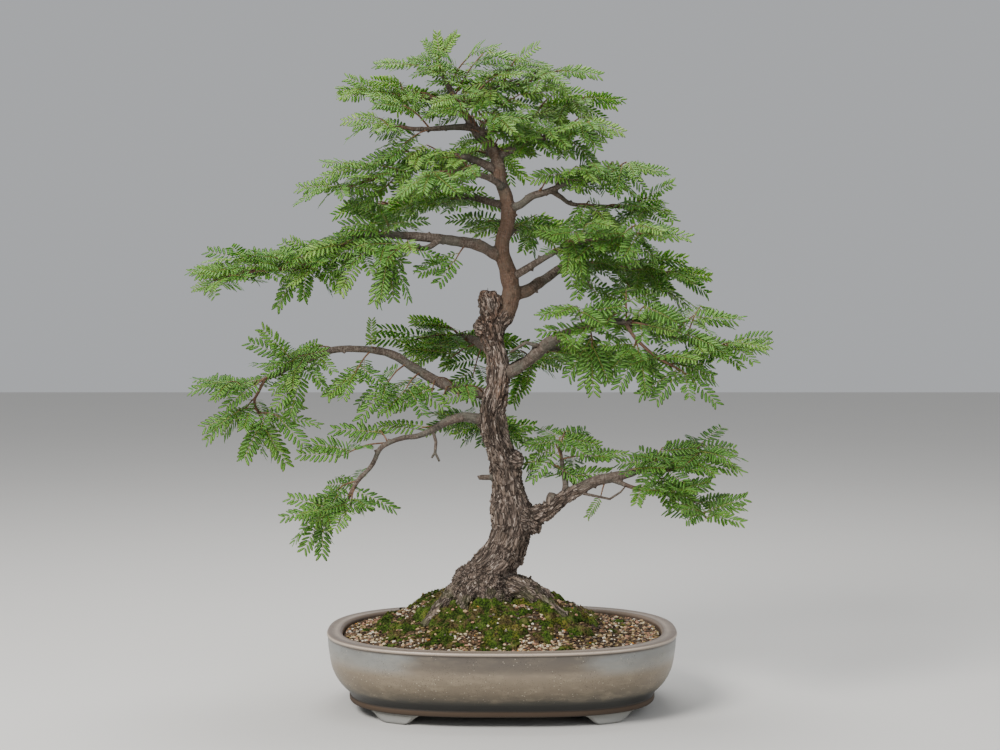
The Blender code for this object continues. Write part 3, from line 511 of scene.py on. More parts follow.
draw = random.Random(21)
shapes = []
for number in range(GRIT_SHAPES):
    chip = bmesh.new()
    bmesh.ops.create_icosphere(chip, subdivisions=1, radius=1)
    for corner in chip.verts:
        corner.co *= draw.uniform(*GRIT_ROUGHNESS)
    stretch = (draw.uniform(0.95, 1.6), draw.uniform(0.7, 1.0), draw.uniform(0.5, 0.8))
    bmesh.ops.scale(chip, vec=stretch, verts=chip.verts)
    shapes.append(mesh_of(chip, "chip"))
chips = []
laid = 0
while laid < GRIT_COUNT:
    x = draw.uniform(-POT_HALF_LENGTH, POT_HALF_LENGTH)
    y = draw.uniform(-POT_HALF_DEPTH, POT_HALF_DEPTH)
    size = draw.triangular(*GRIT_RADIUS)
    if not inside_pot(x, y, GRIT_WALL_INSET + size * 0.6):
        continue
    laid += 1
    depth = moss_depth(x, y)
    if depth > CHIPS_SINK_FROM and draw.random() < CHIPS_OFF_MOSS:
        continue
    place = ground(x, y)
    if place is None or wood_tree.find_nearest(place)[3] < GRIT_OFF_WOOD * MM:
        continue
    shape = shapes[draw.randrange(GRIT_SHAPES)]
    turn = Matrix.Rotation(draw.uniform(0, 6.28), 4, "Z") @ Matrix.Rotation(draw.uniform(-0.6, 0.6), 4, "X")
    lift = Vector((0, 0, (draw.uniform(0.2, 0.75) * size + min(max(depth, 0), MOSS_TOP)) * MM))
    shade = draw.random() ** (1.6 if x > DARK_SIDE else 1.0)
    if math.hypot(x - PINK_PATCH[0], y - PINK_PATCH[1]) < PINK_PATCH[2] and draw.random() < PINK_SHARE:
        shade = PINK_TONE
    chips.append((shape, Matrix.Translation(place + lift) @ turn @ Matrix.Scale(size * MM, 4), shade))
grit = finished_piece("grit_chips", scattered("tone", chips), chip_finish, slot="soil")
grit.data.shade_flat()

# Moss has grown over the mound in soft cushions, from yellow-green to brown where it is dry.
# It is rooted in the soil, fuller close to the trunk and broken by chips that show through.
MOSS_HALF = (158, 124)
MOSS_STEP = 2.0
MOSS_SKIN = 2.0                 # thickness of the mat that the tufts stand in
MOSS_EDGE = -0.6                # depth at which the mat ends
TUFT_COUNT = 12000
TUFT_RADIUS = 0.55
TUFT_HEIGHT = (1.4, 3.4)
TUFT_LEAN = 0.6
TUFT_FROM = 0.3                 # least depth of moss with a tuft on it
TUFT_ROOT = 0.8                 # how far a tuft stands in the mat

moss_finish, shader, start, places = new_finish("cushion_moss", 0.95, 0.15)
patch = start.grain(places, 62, 4, 0.65)
tuft = start.grain(places, 480, 4, 0.7)
colour = start.mix(tuft.between(0.38, 0.66), paint(28, 42, 14), paint(84, 112, 34))
dry = start.mix(tuft.between(0.35, 0.68), paint(46, 36, 22), paint(120, 100, 66))
colour = start.mix(patch.between(0.48, 0.6) * 0.88, colour, dry)
yellow = start.grain(places, 40, 3).between(0.54, 0.66)
colour = start.mix(yellow * tuft.between(0.4, 0.62) * 0.75, colour, paint(124, 116, 42))
bright = start.grain(places, 110, 3).between(0.58, 0.68)
colour = start.mix(bright * tuft.between(0.48, 0.7) * 0.7, colour, paint(134, 150, 66))
# Painted shade and light: the lift layer darkens the mat's hollows and the tufts' feet, and lightens the
# mat's tops and the tufts' tips.
lift = start.layer("lift")
colour = start.mix((1 - lift.between(0.1, 0.5)) * 0.7, colour, paint(30, 34, 15))
colour = start.mix(lift.between(0.6, 1.0) * 0.35, colour, paint(150, 158, 84))
feed(shader, "Base Color", colour)
feed(shader, "Normal", start.bump(tuft, 0.0022))

mat = bmesh.new()
painted_shading_layer = mat.verts.layers.float.new("lift")
cells_x, cells_y = (int(2 * half / MOSS_STEP) for half in MOSS_HALF)
bmesh.ops.create_grid(mat, x_segments=cells_x, y_segments=cells_y, size=1)
bare_corners = []
for corner in mat.verts:
    x = MOSS_MIDDLE[0] + corner.co.x * MOSS_HALF[0]
    y = MOSS_MIDDLE[1] + corner.co.y * MOSS_HALF[1]
    place = ground(x, y) if inside_pot(x, y, GRIT_WALL_INSET + 2) else None
    depth = moss_depth(x, y)
    if place is None or depth < MOSS_EDGE:
        bare_corners.append(corner)
        continue
    fuzz = noise.noise(Vector((x / 2.1, y / 2.1, 9.1))) * 1.1 + noise.noise(Vector((x / 7, y / 6, 1.3))) * 3.0
    # This lift value sets the moss's painted shade in hollows and painted light on tops.
    corner[painted_shading_layer] = 0.5 + fuzz / 5
    corner.co = place + Vector((0, 0, (min(depth, MOSS_TOP) + (fuzz if depth > 0 else 0)) * MM))
bmesh.ops.delete(mat, geom=bare_corners, context="VERTS")
loose = [corner for corner in mat.verts if not corner.link_faces]
bmesh.ops.delete(mat, geom=loose, context="VERTS")
bmesh.ops.solidify(mat, geom=mat.faces, thickness=MOSS_SKIN * MM)
bmesh.ops.recalc_face_normals(mat, faces=mat.faces)

draw = random.Random(44)
blade = bmesh.new()
bmesh.ops.create_cone(blade, cap_ends=True, segments=3, radius1=TUFT_RADIUS, radius2=0.0, depth=1)
bmesh.ops.translate(blade, vec=(0, 0, 0.5), verts=blade.verts)
painted_shading_layer = blade.verts.layers.float.new("lift")
# A tuft's lift grows from foot to tip, for painted shade at its foot and painted light at its tip.
for corner in blade.verts:
    corner[painted_shading_layer] = 0.3 + 0.6 * corner.co.z
tuft_shape = mesh_of(blade, "tuft")
tufts = []
for _ in range(TUFT_COUNT):
    x = MOSS_MIDDLE[0] + draw.uniform(-1, 1) * MOSS_HALF[0]
    y = MOSS_MIDDLE[1] + draw.uniform(-1, 1) * MOSS_HALF[1]
    depth = moss_depth(x, y)
    place = ground(x, y) if inside_pot(x, y, GRIT_WALL_INSET + 3) and depth > TUFT_FROM else None
    if place is None:
        continue
    lean = [Matrix.Rotation(draw.uniform(-TUFT_LEAN, TUFT_LEAN), 4, axis) for axis in "XY"]
    grow = Matrix.Diagonal((MM, MM, draw.uniform(*TUFT_HEIGHT) * MM, 1))
    root = place + Vector((0, 0, (min(depth, MOSS_TOP) - TUFT_ROOT) * MM))
    tufts.append((tuft_shape, Matrix.Translation(root) @ (lean[0] @ lean[1]) @ grow, None))
moss = scattered("lift", tufts, mesh_of(mat, "mat"))
finished_piece("moss_cushions", moss, moss_finish, slot="soil")

# The wood is one growth: roots, a fissured trunk with a chopped top, the leader that took over and branches.
# Old bark is broken into plates, with cracks darkened by painted shade and flake edges lit by a painted
# highlight, and the younger wood is smoother, browner and ringed.
TRUNK = (                       # (x, y, z, radius) in millimetres from the pot's middle, as on all routes
    (-15, 2, 75, 42), (-18.5, 1, 118, 42), (-19, 0, 134, 40), (-19, -1, 142, 37.5),
    (-19, -1, 149, 34.5), (-14.5, -1, 155, 32), (-9, -1, 160, 31), (-4.5, 0, 166, 29.5),
    (0.5, 0, 174, 26.5), (5.5, 0, 185, 23.6), (11.5, 2, 201, 23.2), (12.3, 4, 219, 24.8),
    (10, 5, 232, 21.8), (7.8, 5, 249, 17.8), (4.8, 3, 270, 17.6), (-1, 0, 290, 16.6),
    (-6, -3, 301, 16), (-10, -5, 315, 15.2), (-11.5, -5, 333, 14.6), (-9, -4, 348, 13.8),
    (-6, -2, 362, 13.6), (-4.4, -1, 378, 13.8), (-4.5, 0, 392, 13), (-7, 1, 405, 12.2),
    (-12, 1, 418, 14), (-13.5, 0, 432, 16.5), (-13.5, -1, 446, 12.4),
    (-14, -3, 457, 14), (-15, -3, 466, 13.4), (-15.5, -3, 473.5, 8),
)
LEADER = (
    (-12, 1, 424, 12), (-4, 2, 438, 12.5), (4, 2, 449, 12), (9, 1, 460, 11), (10.6, -1, 473, 10.3),
    (8.6, -3, 487, 10.4), (5.6, -4, 500, 9.4), (1.5, -4, 513, 9), (0, -3, 529, 8.6), (3, 0, 541, 8.8),
    (6.5, 3, 554, 9), (7.5, 4, 567, 9.2), (5, 4, 582, 8.2), (-1, 2, 597, 7.6), (-4, 0, 612, 7.6),
    (-5, -2, 624, 7.8), (-11, -3, 636, 7), (-20, -4, 646, 6.4), (-30, -4, 658, 5.8), (-39, -3, 672, 5),
    (-49, -2, 686, 4.4), (-56, 0, 698, 3.8), (-63, 2, 712, 3.2), (-69, 3, 724, 2.6), (-73, 3, 733, 2),
)
ROOTS = {
    "root_left_front": (
        (-38, -14, 136, 17), (-52, -25, 130, 12.5), (-63, -36, 123, 9), (-74, -48, 113, 7),
        (-88, -60, 99, 5)),
    "root_left_short": ((-34, -20, 134, 15), (-41, -38, 127, 10.5), (-45, -52, 114, 6)),
    "root_left": ((-20, 2, 138, 15), (-44, 6, 132, 12), (-62, 10, 121, 8.5), (-84, 14, 107, 5.5)),
    "root_left_back": ((-18, 10, 134, 13), (-38, 26, 128, 9), (-56, 40, 114, 6), (-66, 48, 102, 4)),
    "root_right_front": ((0, -10, 136, 16), (24, -22, 132, 12), (48, -32, 119, 9), (76, -43, 99, 5.5)),
    "root_right": ((0, 4, 136, 15), (26, 6, 132, 11.5), (48, 10, 120, 8.5), (72, 14, 102, 5.5)),
    "root_back": ((-6, 14, 132, 13), (4, 34, 126, 9), (14, 50, 112, 6), (20, 58, 100, 4)),
    "root_front": ((-14, -16, 134, 15), (-16, -34, 130, 11), (-17, -48, 119, 6.5)),
}
BRANCHES = {
    "low_left": (
        (-10, -5, 322, 7.6), (-28, -9, 327, 6.2), (-45, -14, 329.5, 5.6), (-62, -19, 325, 5),
        (-79, -24, 316, 4), (-96, -29, 309, 3.4), (-111, -34, 307.5, 3.3), (-125, -38, 303, 3.1),
        (-137, -42, 296, 3), (-147, -46, 277, 2.9), (-163, -50, 259, 2.5), (-178, -54, 233, 1.8),
        (-192, -56, 229, 1.2)),
    "mid_left": (
        (-6, 0, 352, 8), (-22, 6, 355, 7), (-42, 13, 358, 6.4), (-62, 18, 363, 6), (-80, 22, 371, 5.9),
        (-106, 24, 386, 5.7), (-122, 24, 397, 5.3), (-142, 22, 404, 4.7), (-171, 18, 406, 4),
        (-196, 12, 405, 4.3), (-221, 8, 396, 3.6), (-261, 0, 377, 2.7), (-290, -10, 366, 1.5),
        (-300, -13, 365, 1)),
    "mid_left_drop": (
        (-272, -4, 372, 2), (-279, -8, 358, 1.8), (-283, -12, 346, 1.6), (-276, -18, 330, 1.2)),
    "upper_left": (
        (-2, -4, 513, 7.6), (-14, -6, 519, 7.2), (-30, -8, 527, 6.6), (-58, -12, 531, 6),
        (-100, -17, 536, 5), (-147, -22, 537, 4.1), (-164, -24, 533, 3.7), (-183, -25, 524, 3.3),
        (-218, -29, 503, 2.8), (-253, -33, 498, 2.2), (-288, -37, 495, 1.6), (-328, -40, 485, 1.1)),
    "upper_left_low": (
        (-70, -14, 533, 4), (-84, -26, 523, 3.4), (-103, -40, 522, 2.8), (-124, -56, 520, 1.4)),
    "pad_left": (
        (-3, 0, 610, 5.5), (-18, -4, 618, 5), (-42, -10, 626, 4.3), (-68, -15, 627, 3.7),
        (-92, -20, 622, 3.1), (-120, -25, 612, 2.5), (-148, -28, 600, 1.9), (-172, -30, 592, 1.3)),
    "pad_left_back": (
        (5, 4, 570, 5), (-12, 14, 576, 4.4), (-38, 32, 583, 3.7), (-65, 50, 582, 3.1),
        (-95, 66, 578, 2.4), (-148, 86, 577, 1.2)),
    "crown_left": (
        (-34, -4, 661, 4.4), (-48, -9, 661, 3.9), (-90, -20, 658, 2.9), (-108, -24, 659, 2.3),
        (-131, -28, 663, 1.3)),
    "crown_left_top": (
        (-53, -1, 692, 3.2), (-66, 6, 695, 2.7), (-102, 18, 699, 1.9), (-168, 29, 709, 0.9)),
    "low_right": (
        (14, 2, 215, 12.5), (32, 0, 215, 11.5), (45, -4, 218, 10), (56, -8, 225, 9), (74, -14, 239, 7.6),
        (91, -19, 249, 7), (109, -23, 258, 6.6), (144, -29, 266, 5), (160, -32, 271, 3.4),
        (197, -36, 272, 1.9), (222, -39, 288, 1.2)),
    "low_right_low": (
        (126, -27, 259, 3.4), (140, -34, 254, 2.6), (156, -42, 250, 2.2), (190, -52, 244, 1.7),
        (226, -61, 224, 1)),
    "low_right_up": (
        (72, -13, 238, 4.5), (73, -8, 252, 4), (71, -2, 264, 3.4), (67, 10, 289, 2), (66, 13, 297, 1.4)),
    "mid_right": (
        (-3, 0, 376, 8.5), (9, -5, 381, 7.8), (19, -10, 386, 7), (29, -14, 393, 6.8), (41, -19, 403, 7.2),
        (50, -22, 412, 7.4), (62, -27, 419, 6.4),
        (75, -31, 426, 5.2), (90, -35, 431, 4.7), (115, -40, 438, 4), (139, -44, 438, 3.4),
        (174, -49, 431, 2.6), (204, -53, 420, 2), (247, -58, 411, 1.1)),
    "mid_right_low": (
        (139, -44, 438, 2.4), (150, -60, 420, 2), (170, -72, 402, 1.6), (190, -80, 390, 1.2)),
    "mid_right_back": (
        (-4, 4, 372, 7), (6, 18, 380, 6.3), (20, 38, 388, 5.4), (38, 58, 396, 4.5), (58, 76, 403, 3.6),
        (84, 90, 404, 2.7), (132, 106, 396, 1.3)),
    "right_upper": (
        (11, 0, 470, 8), (27, 6, 473, 7.4), (39, 12, 480, 6.8), (51, 17, 487, 6.2), (68, 24, 500, 5.2),
        (87, 31, 506, 4.3), (113, 40, 503, 3.6), (141, 49, 500, 2.8), (196, 62, 493, 1.4)),
    "right_upper_front": (
        (9, -3, 488, 5.5), (18, -8, 493, 5), (28, -13, 499, 4.5), (43, -20, 508, 4), (64, -28, 520, 3.3),
        (90, -36, 529, 2.7), (146, -49, 537, 1.4)),
    "right_high": (
        (6, 4, 568, 6), (20, -2, 572, 5), (35, -7, 583, 4.6), (54, -12, 588, 4), (90, -22, 603, 2.7),
        (136, -30, 612, 1.4)),
    "right_high_low": (
        (56, -12, 588, 3.4), (68, -6, 581, 3), (82, 0, 573, 2.7), (121, 10, 571, 2.1),
        (170, 17, 571, 1.2)),
    "crown_right": (
        (-6, -2, 628, 5.5), (8, -8, 634, 4.6), (26, -14, 641, 3.9), (48, -19, 648, 3.3),
        (68, -24, 655, 2.6), (94, -28, 662, 1.3)),
    "crown_right_high": (
        (-24, -4, 652, 5), (-10, 0, 658, 4.2), (8, 6, 664, 3.6), (32, 12, 673, 3), (56, 18, 681, 2.4),
        (90, 23, 691, 1.2)),
    "crown_top_right": (
        (-46, -2, 683, 4), (-34, -6, 692, 3.4), (-18, -10, 701, 2.8), (2, -14, 707, 2.3),
        (52, -19, 718, 1.2)),
    "back_low": (
        (-6, 2, 300, 8), (-10, 20, 305, 7.2), (-18, 42, 311, 6.2), (-24, 66, 315, 5.2),
        (-28, 92, 316, 4.2), (-20, 142, 309, 2.2), (-14, 160, 306, 1.4)),
    "back_mid": (
        (-5, 2, 398, 7.5), (-12, 20, 404, 6.8), (-24, 42, 411, 6), (-38, 66, 416, 5), (-50, 92, 418, 4),
        (-58, 118, 416, 3), (-64, 158, 411, 1.3)),
    "back_high": (
        (1, 0, 530, 6.5), (4, 16, 536, 5.8), (10, 38, 543, 4.9), (18, 62, 548, 4), (24, 88, 550, 3.1),
        (30, 132, 547, 1.4)),
    "back_crown": (
        (-4, 2, 618, 5), (-6, 16, 625, 4.4), (-12, 36, 632, 3.6), (-18, 58, 637, 2.8),
        (-24, 98, 640, 1.3)),
    "front_high": (
        (4, 2, 590, 4.6), (-10, -12, 600, 4), (-28, -30, 606, 3.4), (-46, -50, 608, 2.7),
        (-70, -86, 605, 1.3)),
    "front_crown": (
        (-22, -4, 649, 4), (-22, -16, 656, 3.3), (-20, -32, 662, 2.7), (-8, -66, 666, 1.3)),
}
STUBS = {
    "stub_left": ((0, 2, 259, 4.4), (-19, 0, 259, 3.4), (-27, -1, 259, 2.8)),
    "knob_right": ((4, 0, 280, 14), (14, -1, 279, 12), (21, -1, 278, 8.5), (25, -1, 277, 4)),
    "knob_low_right": ((56, -9, 226, 7), (57, -9, 236, 6.4), (58, -9, 242, 4.4)),
    "burl_low_right": ((22, -1, 208, 15), (33, -2, 205, 12.5), (41, -2, 202, 8.5), (45, -2, 201, 5)),
    "burl_left": ((-12, -1, 429, 14), (-22, -2, 431, 12.5), (-29, -2, 431, 9), (-33, -2, 431, 5)),
}
BARE_TWIGS = (                  # dead or leafless twigs, with the radius last as on every route
    ((-79, -24, 316, 2.0), (-75, -27, 302, 1.8), (-76, -28, 290, 1.7), (-80, -29, 284, 1.1)),
    ((-76, -28, 290, 1.5), (-71, -28, 280, 1.2)),
    ((92, -22, 243, 1.8), (122, -34, 238, 1.4), (134, -36, 246, 1.2), (139, -37, 252, 0.8)),
    ((-322, -40, 487, 1.2), (-328, -41, 485, 1.0), (-330, -44, 488, 0.7)),
    ((48, -22, 411, 2.4), (38, -26, 412, 2.1), (27, -28, 415, 2.3), (18, -27, 409, 1.6), (9, -27, 404, 1.1)),
)
WOOD_SEED = 8
TRUNK_SIDES = 36
FURROWS = ((3, 0.055, 23.0), (5, 0.04, -31.0), (7, 0.025, 17.0))        # lobes round the trunk, depth, twist
WOOD_VOXEL = 1.35 * MM
THIN_WOOD = 2.6                 # radius below which a branch runs on as a plain tube
CRACKS = ((7.5, 44.0, 5.0), (4.6, 26.0, 4.0))   # (width, length, sharpness) of the ridges between cracks
FLAKE_RUN = 21.0                # length of a flake, which lifts from the wood towards one end
FLAKE_SHIFT = (5.0, 26.0)       # (width, length) of the waves that shift flakes against each other
BARK_RELIEF = 3.7
RIPPLES = (2.8, 12.0)           # (width, length) of the fine ripples that all wood has
RIPPLE_RELIEF = (0.08, 0.38)    # on young wood, and more on old wood
SWELLINGS = (13.0, 18.0)
SWELLING_RELIEF = 1.7
KNOBS = (7.0, 5.0)              # (width, length) of the knobs on the chopped top
KNOB_RELIEF = (2.4, -1.4)       # how far they rise, from how deep
CHOPPED_TOP = (-3, 420, 478)    # the old leader's stump lies left of the first, between the other two heights
OLD_BARK = ((110, 4.5), (240, 5.5), (330, 8.6), (410, 11.2))   # (height, radius from which bark is broken)
OLD_BARK_SPAN = 4.0             # further radius over which its plates grow to their full relief
YOUNG_GIRTH = 11.0              # radius at which young wood is fully grey
BRANCH_SWAY = 0.22              # how far a branch strays from its route, as a share of its radius
SPUR_STEP = 13.0
SPURS_BELOW = 14.0              # thicker wood than this has lost its spurs
SPUR_ROUTE = ((-1.0, 1.7), (1.4, 1.5), (2.6, 0.9))      # (height over the bark, radius)
WOOD_KEPT = 0.68                # share of the skin's triangles that is kept


def stem_mesh(route, bevel_steps):
    """A tapered stem along a route, from a bevelled curve with filled caps."""
    curve = bpy.data.curves.new("stem", "CURVE")
    curve.dimensions = "3D"
    curve.bevel_depth = MM
    curve.bevel_resolution = bevel_steps
    curve.use_fill_caps = True
    spline = curve.splines.new("POLY")
    spline.points.add(len(route) - 1)
    for point, (x, y, z, radius) in zip(spline.points, route):
        point.co = (*at(x, y, z), 1)
        point.radius = radius
    holder = put_in_scene("stem", curve)
    mesh = evaluated(holder)
    bpy.data.objects.remove(holder)
    bpy.data.curves.remove(curve)
    bm = bmesh.new()
    bm.from_mesh(mesh)
    bmesh.ops.remove_doubles(bm, verts=bm.verts, dist=0.01 * MM)
    bm.to_mesh(mesh)
    bm.free()
    return mesh


def crooked(route, seed, sway):
    """A smooth route with the small bends and swellings of grown wood."""
    line = smooth_line(route, 5)
    made = []
    for k, (x, y, z, radius) in enumerate(line):
        ease = min(k, 6) / 6 * min(len(line) - 1 - k, 4) / 4
        push = noise.noise_vector(Vector((x / 17, y / 17, z / 17 + seed))) * sway * min(radius, 4) * ease
        swell = 1 + 0.16 * noise.noise(Vector((x / 9, y / 9, z / 9 + 40 + seed)))
        made.append((x + push.x, y + push.y, z + push.z, radius * swell))
    return made


def stem_stations(line, number):
    """Each point of a stem with its radius, how far along it lies, and the ways ahead and to its side."""
    stations = []
    side = None
    run = 137.0 * number
    for k, row in enumerate(line):
        place = Vector(row[:3])
        before = Vector(line[max(k - 1, 0)][:3])
        after = Vector(line[min(k + 1, len(line) - 1)][:3])
        ahead = (after - before).normalized()
        side = side or ahead.orthogonal()
        side = (side - ahead * side.dot(ahead)).normalized()
        run += (place - before).length
        stations.append((place, row[3], run, ahead, side, number))
    return stations


draw = random.Random(WOOD_SEED)
noise.seed_set(WOOD_SEED)       # noise_vector would start from the clock otherwise
wood_bm = bmesh.new()
for (x, y, z, radius), ring in drawn_up(wood_bm, TRUNK_SIDES, smooth_line(TRUNK, 4)):
    for corner, turn in ring:
        furrow = sum(deep * math.sin(lobes * turn + z / twist) for lobes, deep, twist in FURROWS)
        reach = radius * (1 + furrow)
        corner.co = at(x + reach * math.cos(turn), y + reach * math.sin(turn), z)
bmesh.ops.recalc_face_normals(wood_bm, faces=wood_bm.faces)
thin_routes = list(BARE_TWIGS)
stations = []
for number, route in enumerate([TRUNK, LEADER, *ROOTS.values(), *STUBS.values(), *BRANCHES.values()]):
    line = crooked(route, number * 3.1, 0.0 if route is TRUNK else BRANCH_SWAY)
    thick = [row for row in line if row[3] >= THIN_WOOD]
    thin = [row for row in line if row[3] < THIN_WOOD]
    made = [thick] if len(thick) > 1 and route is not TRUNK else []
    if thin:
        thin_routes.append(thick[-2:] + thin)
    path = stem_stations(line, number)
    stations += path
    spur_at = path[0][2] + 2 * SPUR_STEP
    for place, radius, run, ahead, side, _ in path:
        if run < spur_at or not THIN_WOOD < radius < SPURS_BELOW:
            continue
        spur_at = run + SPUR_STEP * draw.uniform(0.6, 1.5)
        out = Matrix.Rotation(draw.uniform(0, 2 * math.pi), 3, ahead) @ side + ahead * 0.3
        tips = [place + out * (radius + rise) for rise, _ in SPUR_ROUTE]
        made.append([(*tip, thick_here) for tip, (_, thick_here) in zip(tips, SPUR_ROUTE)])
    for piece_route in made:
        mesh = stem_mesh(piece_route, 4)
        wood_bm.from_mesh(mesh)
        bpy.data.meshes.remove(mesh)
wood = finished_piece("locust_wood", wood_bm, slot="bark")
remesh = wood.modifiers.new("Grown", "REMESH")
remesh.mode = "VOXEL"
remesh.voxel_size = WOOD_VOXEL
soften = wood.modifiers.new("Soften", "SMOOTH")
soften.factor = 0.5
soften.iterations = 3
wood.data = evaluated(wood)
wood.modifiers.clear()

stem_tree = KDTree(len(stations))
for k, station in enumerate(stations):
    stem_tree.insert(at(*station[0]), k)
stem_tree.balance()


def on_stem(place):
    """The girth at a place of the wood's surface, and the place as (across, across, along) its own stem."""
    spot = (place - POT_MIDDLE) / MM
    near = [(distance / MM - stations[k][1], k) for _, k, distance in stem_tree.find_n(place, 14)]
    k = min(near)[1]
    centre, radius, run, ahead, side, number = stations[k]
    step = 1 if (spot - centre).dot(ahead) > 0 else -1
    if 0 <= k + step < len(stations) and stations[k + step][5] == number:
        next_centre, next_radius, next_run, next_ahead, next_side, _ = stations[k + step]
        gap = next_centre - centre
        share = min(max((spot - centre).dot(gap) / gap.length_squared, 0), 1)
        centre = centre.lerp(next_centre, share)
        radius += (next_radius - radius) * share
        run += (next_run - run) * share
        ahead = ahead.lerp(next_ahead, share)
        side = side.lerp(next_side, share)
    offset = spot - centre
    return radius, Vector((offset.dot(side), offset.dot(ahead.cross(side)), run))


def wave(place, wide, long):
    """Soft noise at a place, with its own length along Z."""
    return noise.noise(Vector((place.x / wide, place.y / wide, place.z / long)))


def bark_height(grain):
    """The height of old bark from 0 in a crack to 1 on the crest of a flake."""
    bent = grain + noise.noise_vector(Vector((grain.x / 11, grain.y / 11, grain.z / 16))) * 3.0
    made = 1.0
    for wide, long, sharp in CRACKS:
        rift = noise.noise(Vector((bent.x / wide, bent.y / wide, bent.z / long + wide * 7)))
        made *= min(abs(rift) * sharp, 1)
    shift = wave(bent, *FLAKE_SHIFT) * 2.6
    return made * (0.35 + 0.65 * ((grain.z / FLAKE_RUN + shift) % 1))


def bark_layers(bm):
    """What the bark's finish reads: the height on a plate, which sets painted shade in the cracks, the wood's
    age and the run of its grain.
    """
    layers = bm.verts.layers
    return layers.float.new("crest"), layers.float.new("age"), layers.float_vector.new("grain")


skin = bmesh.new()
skin.from_mesh(wood.data)
crest_layer, age_layer, grain_layer = bark_layers(skin)
skin.normal_update()
moves = []
for corner in skin.verts:
    girth, grain = on_stem(corner.co)
    spot = (corner.co - POT_MIDDLE) / MM
    age = min(max((girth - read_table(OLD_BARK, spot.z)) / OLD_BARK_SPAN, 0), 1)
    crest = bark_height(grain)
    rise = BARK_RELIEF * age * (crest - 0.5)
    rise += wave(grain, *RIPPLES) * (RIPPLE_RELIEF[0] + RIPPLE_RELIEF[1] * age)
    rise += wave(grain, *SWELLINGS) * SWELLING_RELIEF * age
    if spot.x < CHOPPED_TOP[0] and CHOPPED_TOP[1] < spot.z < CHOPPED_TOP[2] and girth > THIN_WOOD:
        age = max(age, 0.7)
        knob = wave(spot, *KNOBS) * 2
        rise += KNOB_RELIEF[0] * min(abs(knob), 1) + KNOB_RELIEF[1]
        # Lowering the crest here also paints shade into the grooves between the knobs.
        crest = min(crest, 3 * abs(knob))
    corner[crest_layer] = crest
    corner[age_layer] = 0.1 * min(girth / YOUNG_GIRTH, 1) + 0.9 * age
    corner[grain_layer] = grain
    moves.append(corner.normal * (rise * MM * min(girth / 5, 1)))
for corner, move in zip(skin.verts, moves):
    corner.co += move
skin.to_mesh(wood.data)
skin.free()
thinned = wood.modifiers.new("Thinned", "DECIMATE")
thinned.ratio = WOOD_KEPT
wood.data = evaluated(wood)
wood.modifiers.clear()
skin = bmesh.new()
for route in thin_routes:
    mesh = stem_mesh(route, 2)
    skin.from_mesh(mesh)
    bpy.data.meshes.remove(mesh)
crest_layer, age_layer, grain_layer = bark_layers(skin)
for corner in skin.verts:
    girth, grain = on_stem(corner.co)
    corner[crest_layer] = 0.6
    corner[age_layer] = 0.1 * min(girth / YOUNG_GIRTH, 1)
    corner[grain_layer] = grain
skin.from_mesh(wood.data)
skin.to_mesh(wood.data)
skin.free()
wood.data.shade_smooth()

bark, shader, start, places = new_finish("locust_bark", 0.86, 0.3)
crest = start.layer("crest")
age = start.layer("age")
grain = start.layer("grain", 1)
height = start.axis(places, 2) * (1 / MM)
lengthwise = start.stretched(grain, 0.2, 0.2, 0.03)
ringwise = start.stretched(grain, 0.2, 0.2, 0.62)
wavy = start.node("ShaderNodeVectorMath", {"operation": "ADD"}, {0: lengthwise, 1: start.node(
    "ShaderNodeTexNoise", {}, {"Vector": lengthwise, "Scale": 1.1, "Detail": 2.0}, 1)})
ridge = start.sum("ABSOLUTE", start.grain(wavy, 1.0, 2, 0.5) - 0.5)
splinter = start.sum("ABSOLUTE", start.grain(wavy, 2.2, 2, 0.5) - 0.5)
fibre = start.grain(wavy, 5.5, 4, 0.7)
flake = start.sum("FRACT", start.axis(grain, 2) * 0.05 + start.grain(wavy, 0.8, 1) * 3.4)
fine = start.grain(places, 900, 3, 0.6)
blotch = start.grain(places, 46, 4)
rings = start.grain(ringwise, 1.0, 3, 0.6)
upper = height.between(300, 380)
crack = ridge.between(0.006, 0.045) * (splinter.between(0.0, 0.04) * 0.45 + 0.55)
old = start.mix(fibre.between(0.32, 0.66), paint(96, 81, 72), paint(158, 140, 127))
weathered = start.mix(upper, paint(120, 104, 90), paint(130, 98, 78))
old = start.mix(blotch.between(0.44, 0.6) * 0.6, old, weathered)
# A painted highlight on the lit edges of the bark's flakes.
old = start.mix(flake.between(0.55, 0.95) * fibre.between(0.3, 0.6) * 0.8, old, paint(196, 180, 167))
# Painted shade at the foot of each flake, under the lifted end of the one before.
old = start.mix((1 - flake.between(0.0, 0.2)) * 0.8, old, paint(54, 43, 37))
# Painted shade in the cracks: in the shader's own cracks, then where the crest layer says the relief is low.
old = start.mix((1 - crack) * 0.9, old, paint(48, 38, 32))
old = start.mix((1 - crest.between(0.0, 0.2)) * 0.6, old, paint(48, 38, 32))
young = start.mix(fibre.between(0.3, 0.7), paint(73, 62, 55), paint(111, 98, 88))
young = start.mix(rings.between(0.5, 0.62) * 0.45, young, paint(146, 134, 122))
young = start.mix((1 - rings.between(0.28, 0.42)) * 0.75, young, paint(58, 46, 39))
young = start.mix(blotch.between(0.48, 0.6) * 0.55, young, paint(98, 98, 88))
tip = start.mix(fibre.between(0.3, 0.7), paint(86, 60, 46), paint(134, 104, 84))
warm = age.between(0.056, 0.076) * height.between(418, 436) * (fibre.between(0.34, 0.6) * 0.45 + 0.2)
young = start.mix(warm, young, paint(118, 86, 66))
young = start.mix(age.between(0.014, 0.026), tip, young)
colour = start.mix(age.between(0.1, 0.42), young, old)
green = start.grain(places, 55, 3).between(0.46, 0.6) * (1 - height.between(118, 152))
